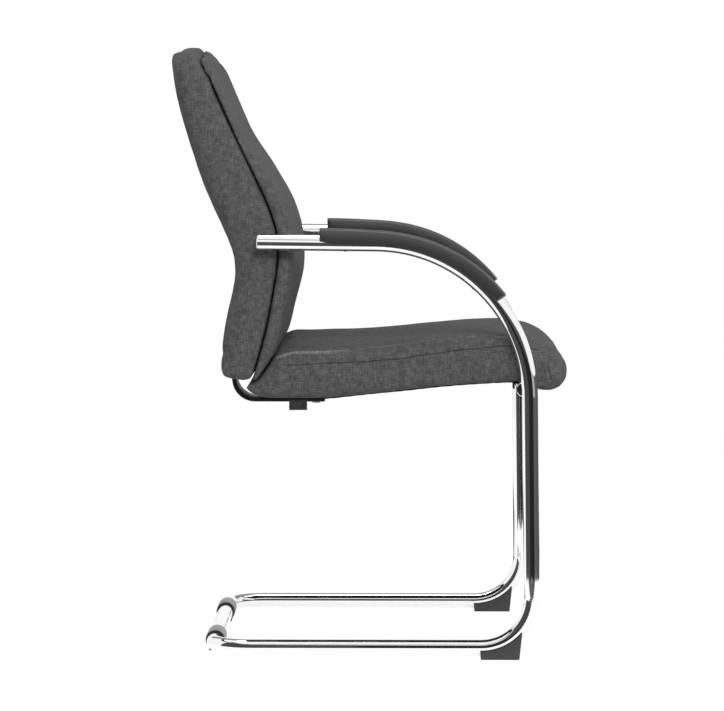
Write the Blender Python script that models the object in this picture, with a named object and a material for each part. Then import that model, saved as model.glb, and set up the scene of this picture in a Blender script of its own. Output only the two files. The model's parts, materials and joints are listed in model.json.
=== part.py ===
"""Visitor chair: a bent tube frame that carries an upholstered seat and back.

The chair faces -Y, X runs across it and Z is up, with the floor at Z = 0.
Sizes are in metres. While the pieces are made, Y is measured from the front
legs towards the rear; the last step moves the whole chair so that the origin
is the middle of its outer box, on the floor. Right and left are the sitter's:
the right side is at -X.
"""
import math

import bmesh
import bpy
from mathutils import Matrix, Vector

# Clearances
CLEARANCE = 0.0003
SEAM_GAP = 0.0016

# Frame tube
TUBE_DIAMETER = 0.025
TUBE_WALL = 0.002
TUBE_SIDES = 16
FRAME_DEPTH = 0.4948
SKID_CLEARANCE = 0.0046
ARM_HEIGHT = 0.6484
ARM_RISE = math.radians(0.6)
ARM_END = 0.4205
LEG_LEAN = math.radians(0.66)
LEG_REFERENCE_HEIGHT = 0.290
ARM_BEND_RADIUS = 0.241
FOOT_BEND_RADIUS = 0.079
REAR_BEND_RADIUS = 0.060

# Arm pads and end caps
PAD_WIDTH = 0.048
PAD_SHOULDER = 0.0060
PAD_CROWN = 0.0105
PAD_SKIRT = 0.0015
PAD_REAR_Y = 0.329
PAD_FRONT_ANGLE = math.radians(50.8)
PAD_END_ROUNDING = 0.009
PAD_END_STATIONS = (0.0012, 0.0040, PAD_END_ROUNDING)
PAD_SCREW_REAR_Y = 0.287
PAD_SCREW_FRONT_ANGLE = math.radians(41.0)
PAD_SCREW_GRIP = 0.006
CAP_FLANGE = 0.0025
CAP_DOME = 0.0035
CAP_PLUG = 0.014

# Feet
FOOT_WIDTH = 0.031
FOOT_FRONT = 0.0171
FOOT_LENGTH = 0.060
FOOT_TIP_LEAN = 0.0044
FOOT_CHEEK = 0.0082
GLIDE_INSET = 0.078
GLIDE_LENGTH = 0.060
GLIDE_WALL = 0.0027
GLIDE_FOOT_WIDTH = 0.020

# Seat
SEAT_WIDTH = 0.490
SEAT_SIDE_GAP = 0.010
SEAT_CROWN = 0.014
SEAT_EDGE = 0.020
SEAT_UNDER_EDGE = 0.012
SEAT_NOSE_CORNER = 0.022
SEAT_CORNER_RUN = 0.055
BOARD_THICKNESS = 0.012
BOARD_STATIONS = 12
SEAT_BOARD_INSET = 0.030
SEAT_BOARD_FRONT = 0.030
SEAT_BOARD_REAR = 0.405
COVER_THICKNESS = 0.0015
COVER_MARGIN = 0.008
CROSS_TUBE_DIAMETER = 0.020
CROSS_TUBE_Y = 0.011
BRACKET_SPACING = 0.240
BRACKET_WIDTH = 0.040
BRACKET_LENGTH = 0.056
BRACKET_PLATE = 0.003
BRACKET_LIP = 0.008
BRACKET_SCREWS = (("front", 0.020), ("rear", 0.044))

# Back
BACK_SIDE_INSET = 0.002
BACK_EDGE_REAR = 0.018
BACK_EDGE_SEAM = 0.008
CUSHION_EDGE = 0.024
CUSHION_CROWN = 0.006
BACK_TOP_CORNER = 0.060
BACK_END_EDGE = 0.0015
BACK_FLAT_SIDE = 0.0025
BACK_LOWER_FADE = 0.045
BACK_BOARD_INSET = 0.038
BACK_BOARD_BOTTOM = 0.462
BACK_BOARD_TOP = 0.900
BACK_BOARD_DEPTH = 0.028
BLOCK_MARGIN = 0.010

# Bar that ties the seat to the back
BAR_WIDTH = 0.080
BAR_THICKNESS = 0.006
BAR_BEND_RADIUS = 0.034
BAR_GRIP = 0.080
BAR_TOP = 0.575
BAR_LOWER_SCREW = 0.020
BAR_UPPER_SCREW = 0.018
SEAT_BOLTS = (("front", 0.015), ("rear", 0.050))

# Arm tabs
TAB_THICKNESS = 0.004
TAB_HEIGHT = 0.016
TAB_GRIP = 0.055
TAB_SCREWS = (("outer", 0.012), ("inner", 0.040))

# Fasteners
SCREW_SHANK = 0.0055
SCREW_HEAD = 0.0105
SCREW_HEAD_HEIGHT = 0.003
BOLT_SHANK = 0.008
BOLT_HEAD = 0.015
BOLT_HEAD_HEIGHT = 0.0045
T_NUT_FLANGE = 0.020
T_NUT_FLANGE_THICKNESS = 0.0015
T_NUT_BARREL = 0.0105
T_NUT_DEPTH = 0.009

# Sewn-in tag
TAG_LENGTH = 0.028
TAG_DROP = 0.018
TAG_THICKNESS = 0.0009
TAG_INSET = 0.039

# What follows from these sizes
TUBE_RADIUS = TUBE_DIAMETER / 2
SKID_HEIGHT = SKID_CLEARANCE + TUBE_RADIUS
SIDE_X = SEAT_WIDTH / 2 + SEAT_SIDE_GAP + TUBE_RADIUS
SEAT_BOARD_WIDTH = SEAT_WIDTH - 2 * SEAT_BOARD_INSET
BACK_WIDTH = SEAT_WIDTH - 2 * BACK_SIDE_INSET
BACK_BOARD_WIDTH = BACK_WIDTH - 2 * BACK_BOARD_INSET
TAB_REACH = SIDE_X - TUBE_RADIUS - BACK_BOARD_WIDTH / 2 + TAB_GRIP
TAG_X = -SEAT_BOARD_WIDTH / 2 - COVER_MARGIN
TAG_Y = SEAT_BOARD_REAR - TAG_INSET
BAR_FRONT_Y = SEAT_BOARD_REAR - BAR_GRIP

# Side profiles of the upholstery: each pair is a height and the Y there
SEAM_PROFILE = (
    (0.436, 0.4335), (0.500, 0.4145), (0.578, 0.3985), (0.635, 0.3912), (0.684, 0.399),
    (0.746, 0.425), (0.820, 0.461), (0.891, 0.493), (0.930, 0.510), (0.946, 0.523),
)
REAR_PROFILE = (
    (0.452, 0.4832), (0.521, 0.474), (0.577, 0.461), (0.610, 0.4577), (0.640, 0.465),
    (0.670, 0.478), (0.744, 0.510), (0.818, 0.534), (0.893, 0.5535), (0.930, 0.5590),
)
FRONT_PROFILE = (
    (0.452, 0.4155), (0.507, 0.386), (0.565, 0.368), (0.604, 0.3615), (0.640, 0.361),
    (0.682, 0.367), (0.720, 0.382), (0.759, 0.406), (0.836, 0.450), (0.912, 0.485), (0.935, 0.4965),
)
# The underside of the seat: each pair is a Y and the height there
UNDERSIDE_PROFILE = (
    (-0.002, 0.4295), (0.020, 0.4297), (0.060, 0.4275), (0.125, 0.420), (0.212, 0.405),
    (0.300, 0.393), (0.330, 0.391), (0.400, 0.391), (0.424, 0.3925),
)
# The top of the seat at its long edges, without its crown
CREST_PROFILE = (
    (-0.010, 0.4965), (0.030, 0.5005), (0.066, 0.501), (0.113, 0.4975), (0.161, 0.492), (0.208, 0.4855),
    (0.268, 0.479), (0.324, 0.4765), (0.372, 0.4745),
)


def value_at(profile, place):
    """Height of a smooth curve through the profile's points."""
    last = len(profile) - 1
    index = 0
    while index < last - 1 and place > profile[index + 1][0]:
        index += 1
    (a, start), (b, end) = profile[index], profile[index + 1]
    before = profile[max(index - 1, 0)]
    after = profile[min(index + 2, last)]
    share = (place - a) / (b - a)
    rise_in = (end - before[1]) / (b - before[0]) * (b - a)
    rise_out = (after[1] - start) / (after[0] - a) * (b - a)
    square, cube = share ** 2, share ** 3
    return (
        (2 * cube - 3 * square + 1) * start
        + (cube - 2 * square + share) * rise_in
        + (3 * square - 2 * cube) * end
        + (cube - square) * rise_out
    )


def along(start, end, count):
    return [start + (end - start) * i / (count - 1) for i in range(count)]


def with_margins(start, end, count, margin):
    """Even places from start to end, with one more a margin beyond each."""
    places = along(start, end, count)
    return [start - margin] + places + [end + margin] if margin else places


def smooth_step(value):
    value = min(max(value, 0.0), 1.0)
    return value * value * (3 - 2 * value)


def seam_y(z):
    return value_at(SEAM_PROFILE, z)


def underside_z(y):
    return value_at(UNDERSIDE_PROFILE, y)


def seam_heights():
    """Heights of the points along the seam, the same for both halves of the back."""
    return along(SEAM_PROFILE[0][0] + 0.004, SEAM_PROFILE[-1][0] - 0.006, 15)


def board_y(z):
    """Middle of the back board's thickness."""
    return seam_y(z) + BACK_BOARD_DEPTH


def material(name, colour, roughness, metallic=0.0):
    made = bpy.data.materials.new(name)
    made.use_nodes = True
    shader = made.node_tree.nodes["Principled BSDF"]
    shader.inputs["Base Color"].default_value = (*colour, 1.0)
    shader.inputs["Roughness"].default_value = roughness
    shader.inputs["Metallic"].default_value = metallic
    return made


def add_object(name, bm, finish, sharp_angle=35.0):
    """Close the mesh's work, face it outwards and put it in the scene."""
    bmesh.ops.recalc_face_normals(bm, faces=bm.faces[:])
    mesh = bpy.data.meshes.new(name)
    bm.to_mesh(mesh)
    bm.free()
    mesh.shade_smooth()
    mesh.set_sharp_from_angle(angle=math.radians(sharp_angle))
    if finish:
        mesh.materials.append(finish)
    made = bpy.data.objects.new(name, mesh)
    bpy.context.scene.collection.objects.link(made)
    return made


def extrude_ring(bm, ring, places):
    """Extrude a closed ring of vertices once and set the new ring down on places."""
    edges = [bm.edges.get((a, b)) for a, b in zip(ring, ring[1:] + ring[:1])]
    grown = bmesh.ops.extrude_edge_only(bm, edges=edges)["geom"]
    fresh = {item for item in grown if isinstance(item, bmesh.types.BMVert)}
    following = []
    for vert, place in zip(ring, places):
        new = next(e.other_vert(vert) for e in vert.link_edges if e.other_vert(vert) in fresh)
        new.co = place
        following.append(new)
    return following


def loft(name, rings, finish, sharp_angle=35.0):
    """Closed body through rings of equal count, with both ends filled."""
    bm = bmesh.new()
    ring = [bm.verts.new(place) for place in rings[0]]
    bm.faces.new(ring)
    for places in rings[1:]:
        ring = extrude_ring(bm, ring, places)
    bm.faces.new(ring)
    return add_object(name, bm, finish, sharp_angle)


def across(name, outline, low_x, high_x, finish):
    """A side outline of (y, z) points carried straight from low_x to high_x."""
    rings = [[Vector((x, y, z)) for y, z in outline] for x in (low_x, high_x)]
    return loft(name, rings, finish)


def as_cutter(cutter):
    cutter.hide_render = True
    cutter.display_type = "WIRE"
    return cutter


def combine(target, other, operation):
    step = target.modifiers.new(other.name, "BOOLEAN")
    step.operation = operation
    step.solver = "EXACT"
    step.object = as_cutter(other)


def cut(target, cutter):
    combine(target, cutter, "DIFFERENCE")


def turned(name, profile, origin, axis, finish, sides=16):
    """A body turned from (radius, height) points, its first and last on the axis."""
    turn = Vector((0, 0, 1)).rotation_difference(Vector(axis)).to_matrix().to_4x4()
    place = Matrix.Translation(origin) @ turn
    bm = bmesh.new()
    verts = [bm.verts.new((radius, 0, height)) for radius, height in profile]
    edges = [bm.edges.new(pair) for pair in zip(verts, verts[1:])]
    bmesh.ops.spin(
        bm, geom=verts + edges, cent=(0, 0, 0), axis=(0, 0, 1), angle=math.tau, steps=sides, use_merge=True
    )
    bmesh.ops.remove_doubles(bm, verts=bm.verts[:], dist=1e-6)
    bmesh.ops.transform(bm, matrix=place, verts=bm.verts[:])
    return add_object(name, bm, finish)


def drill(target, name, origin, axis, radius, depth, sides=12):
    """Round hole from origin along axis."""
    profile = ((0, 0), (radius, 0), (radius, depth), (0, depth))
    cut(target, turned(name, profile, origin, axis, None, sides))


def domed_screw(name, origin, axis, shank_length, finish):
    """Domed screw: origin is under its head and axis points along its shank."""
    head, shank = SCREW_HEAD / 2, SCREW_SHANK / 2
    profile = (
        (0, -SCREW_HEAD_HEIGHT), (head * 0.62, -SCREW_HEAD_HEIGHT * 0.86), (head, -SCREW_HEAD_HEIGHT * 0.3),
        (head, 0), (shank, 0), (shank, shank_length - shank), (0, shank_length),
    )
    return turned(name, profile, origin, axis, finish, 12)


# Frame

def leg_y(z):
    """The legs lean forward a little on their way down."""
    return (z - LEG_REFERENCE_HEIGHT) * math.tan(LEG_LEAN)


def arm_z(y):
    return ARM_HEIGHT + (y - ARM_END) * math.tan(ARM_RISE)


def bend_data(corner, before, after, radius):
    """Centre, tangent points and angle of the bend that rounds a corner."""
    into = (corner - before).normalized()
    out = (after - corner).normalized()
    angle = into.angle(out)
    reach = radius * math.tan(angle / 2)
    start, end = corner - into * reach, corner + out * reach
    inward = (out - into).normalized()
    centre = corner + inward * (radius / math.cos(angle / 2))
    return centre, start, end, angle, into.cross(out).normalized()


def frame_corners():
    """Corners of the right half's centre line, from the arm's rear end to the rear cross piece."""
    x = -SIDE_X
    lean, rise = math.tan(LEG_LEAN), math.tan(ARM_RISE)
    top = (ARM_HEIGHT - ARM_END * rise - LEG_REFERENCE_HEIGHT * rise * lean) / (1 - rise * lean)
    return (
        Vector((x, ARM_END, ARM_HEIGHT)),
        Vector((x, leg_y(top), top)),
        Vector((x, leg_y(SKID_HEIGHT), SKID_HEIGHT)),
        Vector((x, FRAME_DEPTH, SKID_HEIGHT)),
        Vector((0, FRAME_DEPTH, SKID_HEIGHT)),
    )


def half_frame_bends():
    corners = frame_corners()
    radii = (ARM_BEND_RADIUS, FOOT_BEND_RADIUS, REAR_BEND_RADIUS)
    return [
        bend_data(corners[i + 1], corners[i], corners[i + 2], radius) for i, radius in enumerate(radii)
    ]


BEND_STEPS = (14, 8, 8)


def annulus(bm, outer, inner, sides, place):
    """Flat ring of faces that the tube is drawn from."""
    rims = []
    for radius in (outer, inner):
        made = bmesh.ops.create_circle(bm, segments=sides, radius=radius, matrix=place)
        rims += {edge for vert in made["verts"] for edge in vert.link_edges}
    return bmesh.ops.bridge_loops(bm, edges=rims)["faces"]


def parts_of(faces):
    """Faces with their edges and vertices, as spin and extrude take them."""
    edges = {edge for face in faces for edge in face.edges}
    verts = {vert for face in faces for vert in face.verts}
    return list(faces) + list(edges) + list(verts)


def draw_straight(bm, faces, move):
    grown = bmesh.ops.extrude_face_region(bm, geom=parts_of(faces))["geom"]
    verts = [item for item in grown if isinstance(item, bmesh.types.BMVert)]
    bmesh.ops.translate(bm, verts=verts, vec=move)
    return [item for item in grown if isinstance(item, bmesh.types.BMFace)]


def draw_bend(bm, faces, centre, axis, angle, steps):
    spun = bmesh.ops.spin(
        bm, geom=parts_of(faces), cent=centre, axis=axis, angle=angle, steps=steps, use_duplicate=False
    )
    return [item for item in spun["geom_last"] if isinstance(item, bmesh.types.BMFace)]


def bent_cutter(name, x, centre, bend_radius, first, last, steps):
    """Bar that follows the tube round a bend, between two angles below the bend's foremost point."""
    bm = bmesh.new()
    middle = Vector((x, centre.y, centre.z))
    place = Matrix.Translation(middle - Vector((0, bend_radius, 0)))
    disc = bmesh.ops.create_circle(
        bm, cap_ends=True, segments=TUBE_SIDES, radius=TUBE_RADIUS + CLEARANCE, matrix=place
    )
    faces = list({face for vert in disc["verts"] for face in vert.link_faces})
    bmesh.ops.rotate(bm, verts=disc["verts"], cent=middle, matrix=Matrix.Rotation(first, 3, "X"))
    draw_bend(bm, faces, middle, (1, 0, 0), last - first, steps)
    return add_object(name, bm, None)


def make_frame_tube(finish):
    """One tube from arm to arm, drawn straight and bent as a tube bender does it."""
    corners = frame_corners()
    bm = bmesh.new()
    heading = (corners[1] - corners[0]).normalized()
    turn = Vector((0, 0, 1)).rotation_difference(heading).to_matrix().to_4x4()
    place = Matrix.Translation(corners[0]) @ turn
    faces = annulus(bm, TUBE_RADIUS, TUBE_RADIUS - TUBE_WALL, TUBE_SIDES, place)
    mirror = Matrix.Diagonal((-1, 1, 1))
    bends = half_frame_bends()
    route = [(data, steps) for data, steps in zip(bends, BEND_STEPS)]
    for (centre, start, end, angle, axis), steps in reversed(list(zip(bends, BEND_STEPS))):
        route.append(((mirror @ centre, mirror @ end, mirror @ start, angle, mirror @ axis), steps))
    here = corners[0]
    for (centre, start, end, angle, axis), steps in route:
        faces = draw_straight(bm, faces, start - here)
        faces = draw_bend(bm, faces, centre, axis, angle, steps)
        here = end
    draw_straight(bm, faces, mirror @ corners[0] - here)
    bmesh.ops.remove_doubles(bm, verts=bm.verts[:], dist=1e-7)
    return add_object("frame_tube", bm, finish, 60.0)


def make_end_cap(name, x, finish):
    """Domed plug in the rear end of an arm."""
    plug = TUBE_RADIUS - TUBE_WALL - CLEARANCE
    rim = TUBE_RADIUS - CLEARANCE
    top = CAP_FLANGE + CAP_DOME
    profile = (
        (0, -CAP_PLUG), (plug * 0.9, -CAP_PLUG), (plug, -CAP_PLUG * 0.85), (plug, CLEARANCE),
        (rim, CLEARANCE), (rim, CAP_FLANGE), (rim * 0.86, top - CAP_DOME * 0.35),
        (rim * 0.5, top - CAP_DOME * 0.06), (0, top),
    )
    axis = (0, math.cos(ARM_RISE), math.sin(ARM_RISE))
    return turned(name, profile, Vector((x, ARM_END, ARM_HEIGHT)), axis, finish)


# Arm pads

def arm_stations():
    """Points under the pad with the direction away from the tube, from rear to front."""
    centre, start, _, _, _ = half_frame_bends()[0]
    outward = Vector((0, -math.sin(ARM_RISE), math.cos(ARM_RISE)))
    stations = []
    middle = (PAD_REAR_Y + start.y) / 2
    for y in [PAD_REAR_Y] + [PAD_REAR_Y - end for end in PAD_END_STATIONS] + [middle]:
        stations.append((Vector((0, y, arm_z(y))), outward))
    angles = along(0, PAD_FRONT_ANGLE, 13)
    angles += [PAD_FRONT_ANGLE - end / ARM_BEND_RADIUS for end in PAD_END_STATIONS]
    for angle in sorted(angles):
        away = Matrix.Rotation(angle, 3, "X") @ outward
        stations.append((Vector((0, centre.y, centre.z)) + away * ARM_BEND_RADIUS, away))
    return stations


def pad_section(rounding):
    """Section of a pad as (across, away) points, its outer points drawn in by rounding."""
    half = PAD_WIDTH / 2 - rounding * PAD_END_ROUNDING
    low = -PAD_SKIRT
    shoulder = TUBE_RADIUS + PAD_SHOULDER - rounding * 0.003
    crown = TUBE_RADIUS + PAD_CROWN - rounding * 0.004
    groove = TUBE_RADIUS + CLEARANCE
    half = max(half, groove + 0.0015)
    right = [
        (half - 0.002, low), (half, low + 0.002), (half, shoulder - 0.009),
        (half - 0.0015, shoulder - 0.004), (half - 0.005, shoulder - 0.0005),
        (half * 0.55, crown - 0.0016), (0, crown),
    ]
    left = [(-across_, away) for across_, away in reversed(right[:-1])]
    inner = [
        (-groove * math.cos(angle), groove * math.sin(angle) if 0 < angle < math.pi else low)
        for angle in along(0, math.pi, 9)
    ]
    return right + left + inner


def make_arm_pad(name, x, finish):
    """Moulded pad that sits astride the tube and follows its bend."""
    stations = arm_stations()
    shares = (1.0, 0.62, 0.25)
    rings = []
    for index, (centre, away) in enumerate(stations):
        from_end = min(index, len(stations) - 1 - index)
        rounding = shares[from_end] if from_end < len(shares) else 0.0
        rings.append(
            [centre + Vector((x + side, 0, 0)) + away * height for side, height in pad_section(rounding)]
        )
    return loft(name, rings, finish, 50.0)


def pad_screw_places():
    """Where the two screws of a pad pass through the tube, with the way up through the pad."""
    centre = half_frame_bends()[0][0]
    outward = Vector((0, -math.sin(ARM_RISE), math.cos(ARM_RISE)))
    rear = Vector((0, PAD_SCREW_REAR_Y, arm_z(PAD_SCREW_REAR_Y)))
    away = Matrix.Rotation(PAD_SCREW_FRONT_ANGLE, 3, "X") @ outward
    front = Vector((0, centre.y, centre.z)) + away * ARM_BEND_RADIUS
    return (("rear", rear, outward), ("front", front, away))


def make_pad_screws(side, x, frame, pad, finish):
    """Screws that come up through the tube into the pad."""
    for end, centre, away in pad_screw_places():
        seat = centre + Vector((x, 0, 0)) - away * (TUBE_RADIUS + 2 * CLEARANCE)
        length = TUBE_DIAMETER + PAD_SCREW_GRIP
        domed_screw(f"arm_pad_screw_{side}_{end}", seat, away, length, finish)
        start = seat - away * 0.004
        hole = SCREW_SHANK / 2 + CLEARANCE
        drill(frame, f"frame_hole_{side}_{end}", start, away, hole, 0.004 + TUBE_DIAMETER + 0.004)
        drill(pad, f"pad_hole_{side}_{end}", centre + Vector((x, 0, 0)), away, hole,
              TUBE_RADIUS + PAD_SCREW_GRIP + CLEARANCE)


# Feet

def make_front_foot(name, x, finish):
    """Block that cups the lower third of the front bend and stands on the floor."""
    centre = half_frame_bends()[1][0]
    cheek = FOOT_BEND_RADIUS + TUBE_RADIUS - FOOT_CHEEK
    rear = FOOT_FRONT + FOOT_LENGTH
    tip_y = FOOT_FRONT - FOOT_TIP_LEAN
    tip_angle = math.acos((centre.y - tip_y) / cheek)
    rear_angle = math.acos((centre.y - rear - 0.001) / cheek)
    outline = [(FOOT_FRONT, 0.0), (rear, 0.0)]
    for angle in reversed(along(tip_angle, rear_angle, 8)):
        outline.append((centre.y - cheek * math.cos(angle), centre.z - cheek * math.sin(angle)))
    foot = across(name, outline, x - FOOT_WIDTH / 2, x + FOOT_WIDTH / 2, finish)
    lead = math.radians(12)
    groove = bent_cutter(name + "_groove", x, centre, FOOT_BEND_RADIUS, -lead, math.pi / 2 + lead, 13)
    cut(foot, groove)
    return foot


def make_rear_glide(name, inner_x, outer_x, finish):
    """Sleeve round the rear cross piece with a foot that reaches the floor."""
    radius = TUBE_RADIUS + CLEARANCE + GLIDE_WALL
    half_foot = GLIDE_FOOT_WIDTH / 2
    low = math.asin(half_foot / radius)
    outline = [(FRAME_DEPTH - half_foot, 0.0), (FRAME_DEPTH + half_foot, 0.0)]
    for angle in along(-math.pi / 2 + low, 3 * math.pi / 2 - low, 15):
        outline.append((FRAME_DEPTH + radius * math.cos(angle), SKID_HEIGHT + radius * math.sin(angle)))
    glide = across(name, outline, inner_x, outer_x, finish)
    start = Vector((min(inner_x, outer_x) - 0.005, FRAME_DEPTH, SKID_HEIGHT))
    drill(glide, name + "_bore", start, (1, 0, 0), TUBE_RADIUS + CLEARANCE, GLIDE_LENGTH + 0.01, TUBE_SIDES)
    return glide


# Upholstery

def outward_normals(outline):
    """Unit normals of a closed outline of (y, z) points."""
    area = sum(
        a[0] * b[1] - b[0] * a[1] for a, b in zip(outline, outline[1:] + outline[:1])
    )
    turn = 1 if area > 0 else -1
    normals = []
    for index in range(len(outline)):
        before, after = outline[index - 1], outline[(index + 1) % len(outline)]
        along_y, along_z = after[0] - before[0], after[1] - before[1]
        size = math.hypot(along_y, along_z)
        normals.append((turn * along_z / size, -turn * along_y / size))
    return normals


def draw_in(distance, run):
    """Share of a rounding that is reached at a distance from the side: 1 at the side itself."""
    share = max(0.0, 1.0 - distance / run)
    return 1.0 - math.sqrt(1.0 - share * share)


def side_stations(half_width):
    """Places across a cushion, closer together towards its rounded sides."""
    from_side = (0.0, 0.0012, 0.004, 0.009, 0.016, 0.026, 0.045, 0.085, 0.150)
    right = [-half_width + distance for distance in from_side]
    return right + [0.0] + [-x for x in reversed(right)]


def upholster(name, outline, half_width, edge_run, edge, crown, corner, finish):
    """A side outline carried across, drawn in at both sides and crowned in the middle.

    edge gives how deep a point of the outline draws in over the last edge_run of the width.
    """
    normals = outward_normals(outline)
    rings = []
    for x in side_stations(half_width):
        side = half_width - abs(x)
        middle = 1.0 - (x / half_width) ** 2
        ring = []
        for (y, z), (normal_y, normal_z) in zip(outline, normals):
            move = crown(y, z) * middle - edge(y, z) * draw_in(side, edge_run)
            corner_y, corner_z = corner(y, z, side)
            ring.append(Vector((x, y + normal_y * move + corner_y, z + normal_z * move + corner_z)))
        rings.append(ring)
    return loft(name, rings, finish, 60.0)


def back_top_corner(y, z, side):
    """Lowers the upper corners of the back into a quarter round, along its slope."""
    start = SEAM_PROFILE[-1][0] - BACK_TOP_CORNER
    share = max(0.0, (z - start) / BACK_TOP_CORNER)
    drop = BACK_TOP_CORNER * share * draw_in(max(side, BACK_FLAT_SIDE), BACK_TOP_CORNER)
    slope = (SEAM_PROFILE[-3][1] - SEAM_PROFILE[-4][1]) / (SEAM_PROFILE[-3][0] - SEAM_PROFILE[-4][0])
    return -drop * slope, -drop


def back_edge(depth, z):
    """The side rounding fades towards the tighter corners at the back's lower and upper ends."""
    low, high = SEAM_PROFILE[0][0], SEAM_PROFILE[-1][0]
    share = smooth_step((z - low) / BACK_LOWER_FADE) * smooth_step((high - z) / BACK_TOP_CORNER)
    return BACK_END_EDGE + (depth - BACK_END_EDGE) * share


def make_back_shell(finish):
    """Upholstered rear half of the back, up to the seam."""
    gap = SEAM_GAP / 2
    top = SEAM_PROFILE[-1][0]
    outline = [(seam_y(z) + gap, z) for z in seam_heights()]
    outline += [(seam_y(top) + 0.006, top - 0.0015), (seam_y(top) + 0.018, top)]
    outline += [(value_at(REAR_PROFILE, 0.930) - 0.005, top - 0.003)]
    outline += [(value_at(REAR_PROFILE, z), z) for z in reversed(along(0.455, 0.933, 14))]
    outline += [(0.4805, 0.4445), (0.4740, 0.4385), (0.4620, 0.4360), (0.4430, 0.4355)]

    def edge(y, z):
        near_seam = smooth_step((seam_y(min(z, top)) + 0.016 - y) / 0.010)
        return back_edge(BACK_EDGE_REAR + (BACK_EDGE_SEAM - BACK_EDGE_REAR) * near_seam, z)

    def crown(y, z):
        return 0.0

    return upholster(
        "back_shell", outline, BACK_WIDTH / 2, BACK_EDGE_REAR, edge, crown, back_top_corner, finish
    )


def back_block_outline(front_offset, rear_offset, extra):
    """Outline between two offsets from the seam, over the height of the back board."""
    heights = with_margins(BACK_BOARD_BOTTOM, BACK_BOARD_TOP, BOARD_STATIONS, BLOCK_MARGIN + extra)
    front = [(seam_y(z) + front_offset, z) for z in heights]
    rear = [(seam_y(z) + rear_offset, z) for z in reversed(heights)]
    return front + rear


def make_back_cushion(finish):
    """Upholstered front half of the back, with the foam behind its seam that the board is fixed to."""
    gap = SEAM_GAP / 2
    top = SEAM_PROFILE[-1][0]
    outline = [(value_at(FRONT_PROFILE, z), z) for z in along(0.456, 0.935, 17)]
    outline += [(0.5010, 0.9445), (0.5090, 0.9490), (0.5170, 0.9500), (0.5235, 0.9485)]
    outline += [(seam_y(z) - gap, z) for z in reversed(seam_heights())]
    outline += [(0.4300, 0.4350), (0.4230, 0.4380)]

    def edge(y, z):
        near_front = smooth_step((seam_y(min(z, top)) - 0.004 - y) / 0.012)
        thickness = seam_y(min(z, top)) - value_at(FRONT_PROFILE, z)
        depth = min(CUSHION_EDGE, 0.7 * thickness)
        return back_edge(BACK_END_EDGE + (depth - BACK_END_EDGE) * near_front, z)

    def crown(y, z):
        near_front = smooth_step((seam_y(min(z, top)) - 0.004 - y) / 0.012)
        return CUSHION_CROWN * near_front * smooth_step((z - 0.46) / 0.06)

    cushion = upholster(
        "back_cushion", outline, BACK_WIDTH / 2, CUSHION_EDGE, edge, crown, back_top_corner, finish
    )
    rear = BACK_BOARD_DEPTH - BOARD_THICKNESS / 2 - CLEARANCE
    half = BACK_BOARD_WIDTH / 2
    block = across("cushion_block", back_block_outline(-0.006, rear, 0.0), -half, half, None)
    combine(cushion, block, "UNION")
    return cushion


def make_back_board(finish):
    """Bent plywood panel inside the back."""
    half = BACK_BOARD_WIDTH / 2
    heights = along(BACK_BOARD_BOTTOM, BACK_BOARD_TOP, BOARD_STATIONS)
    front = [(board_y(z) - BOARD_THICKNESS / 2, z) for z in heights]
    rear = [(board_y(z) + BOARD_THICKNESS / 2, z) for z in reversed(heights)]
    return across("back_board", front + rear, -half, half, finish)


def cut_shell_pocket(shell):
    """Room inside the shell for the cushion's foam block and the board."""
    half = BACK_BOARD_WIDTH / 2 + CLEARANCE
    rear = BACK_BOARD_DEPTH + BOARD_THICKNESS / 2 + CLEARANCE
    outline = back_block_outline(-0.004, rear, CLEARANCE)
    cut(shell, across("shell_pocket", outline, -half, half, None))


def seat_crown_share(y, z):
    on_top = smooth_step((z - 0.455) / 0.02)
    return on_top * smooth_step((0.402 - y) / 0.035) * smooth_step((y + 0.045) / 0.05)


def make_seat_cushion(finish):
    """Padded seat with a rolled front edge."""
    places = [0.0, 0.015] + along(SEAT_BOARD_FRONT, SEAT_BOARD_REAR, BOARD_STATIONS) + [0.420]
    outline = [(y, underside_z(y)) for y in places]
    outline += [(0.4320, 0.3975), (0.4390, 0.4080), (0.4395, 0.4180), (0.4330, 0.4275)]
    outline += [(0.4200, 0.4390), (0.4080, 0.4510), (0.3960, 0.4640), (0.3850, 0.4715)]
    outline += [(y, value_at(CREST_PROFILE, y)) for y in reversed(along(-0.008, 0.372, 15))]
    outline += [(-0.0300, 0.4885), (-0.0460, 0.4750), (-0.0550, 0.4600), (-0.0590, 0.4440)]
    outline += [(-0.0570, 0.4300), (-0.0490, 0.4190), (-0.0370, 0.4135), (-0.0220, 0.4130)]
    outline += [(-0.0110, 0.4175), (-0.0045, 0.4250)]

    def edge(y, z):
        under = smooth_step((0.448 - z) / 0.02) * smooth_step((y - 0.02) / 0.02)
        under_radius = 0.003 + (SEAT_UNDER_EDGE - 0.003) * smooth_step((y - 0.12) / 0.18)
        return SEAT_EDGE + (under_radius - SEAT_EDGE) * under

    def crown(y, z):
        return SEAT_CROWN * seat_crown_share(y, z)

    def corner(y, z, side):
        ahead = smooth_step((0.030 - y) / 0.085)
        return SEAT_NOSE_CORNER * ahead * draw_in(side, SEAT_CORNER_RUN), 0.0

    return upholster("seat_cushion", outline, SEAT_WIDTH / 2, SEAT_EDGE, edge, crown, corner, finish)


def under_seat_sheet(name, margin, half, low, high, finish):
    """Sheet that follows the seat's underside between two offsets from it, a margin past the board."""
    places = with_margins(SEAT_BOARD_FRONT, SEAT_BOARD_REAR, BOARD_STATIONS, margin)
    outline = [(y, underside_z(y) + low) for y in places]
    outline += [(y, underside_z(y) + high) for y in reversed(places)]
    return across(name, outline, -half, half, finish)


def make_seat_board(finish):
    half = SEAT_BOARD_WIDTH / 2
    return under_seat_sheet("seat_board", 0.0, half, 0.0, BOARD_THICKNESS, finish)


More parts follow.
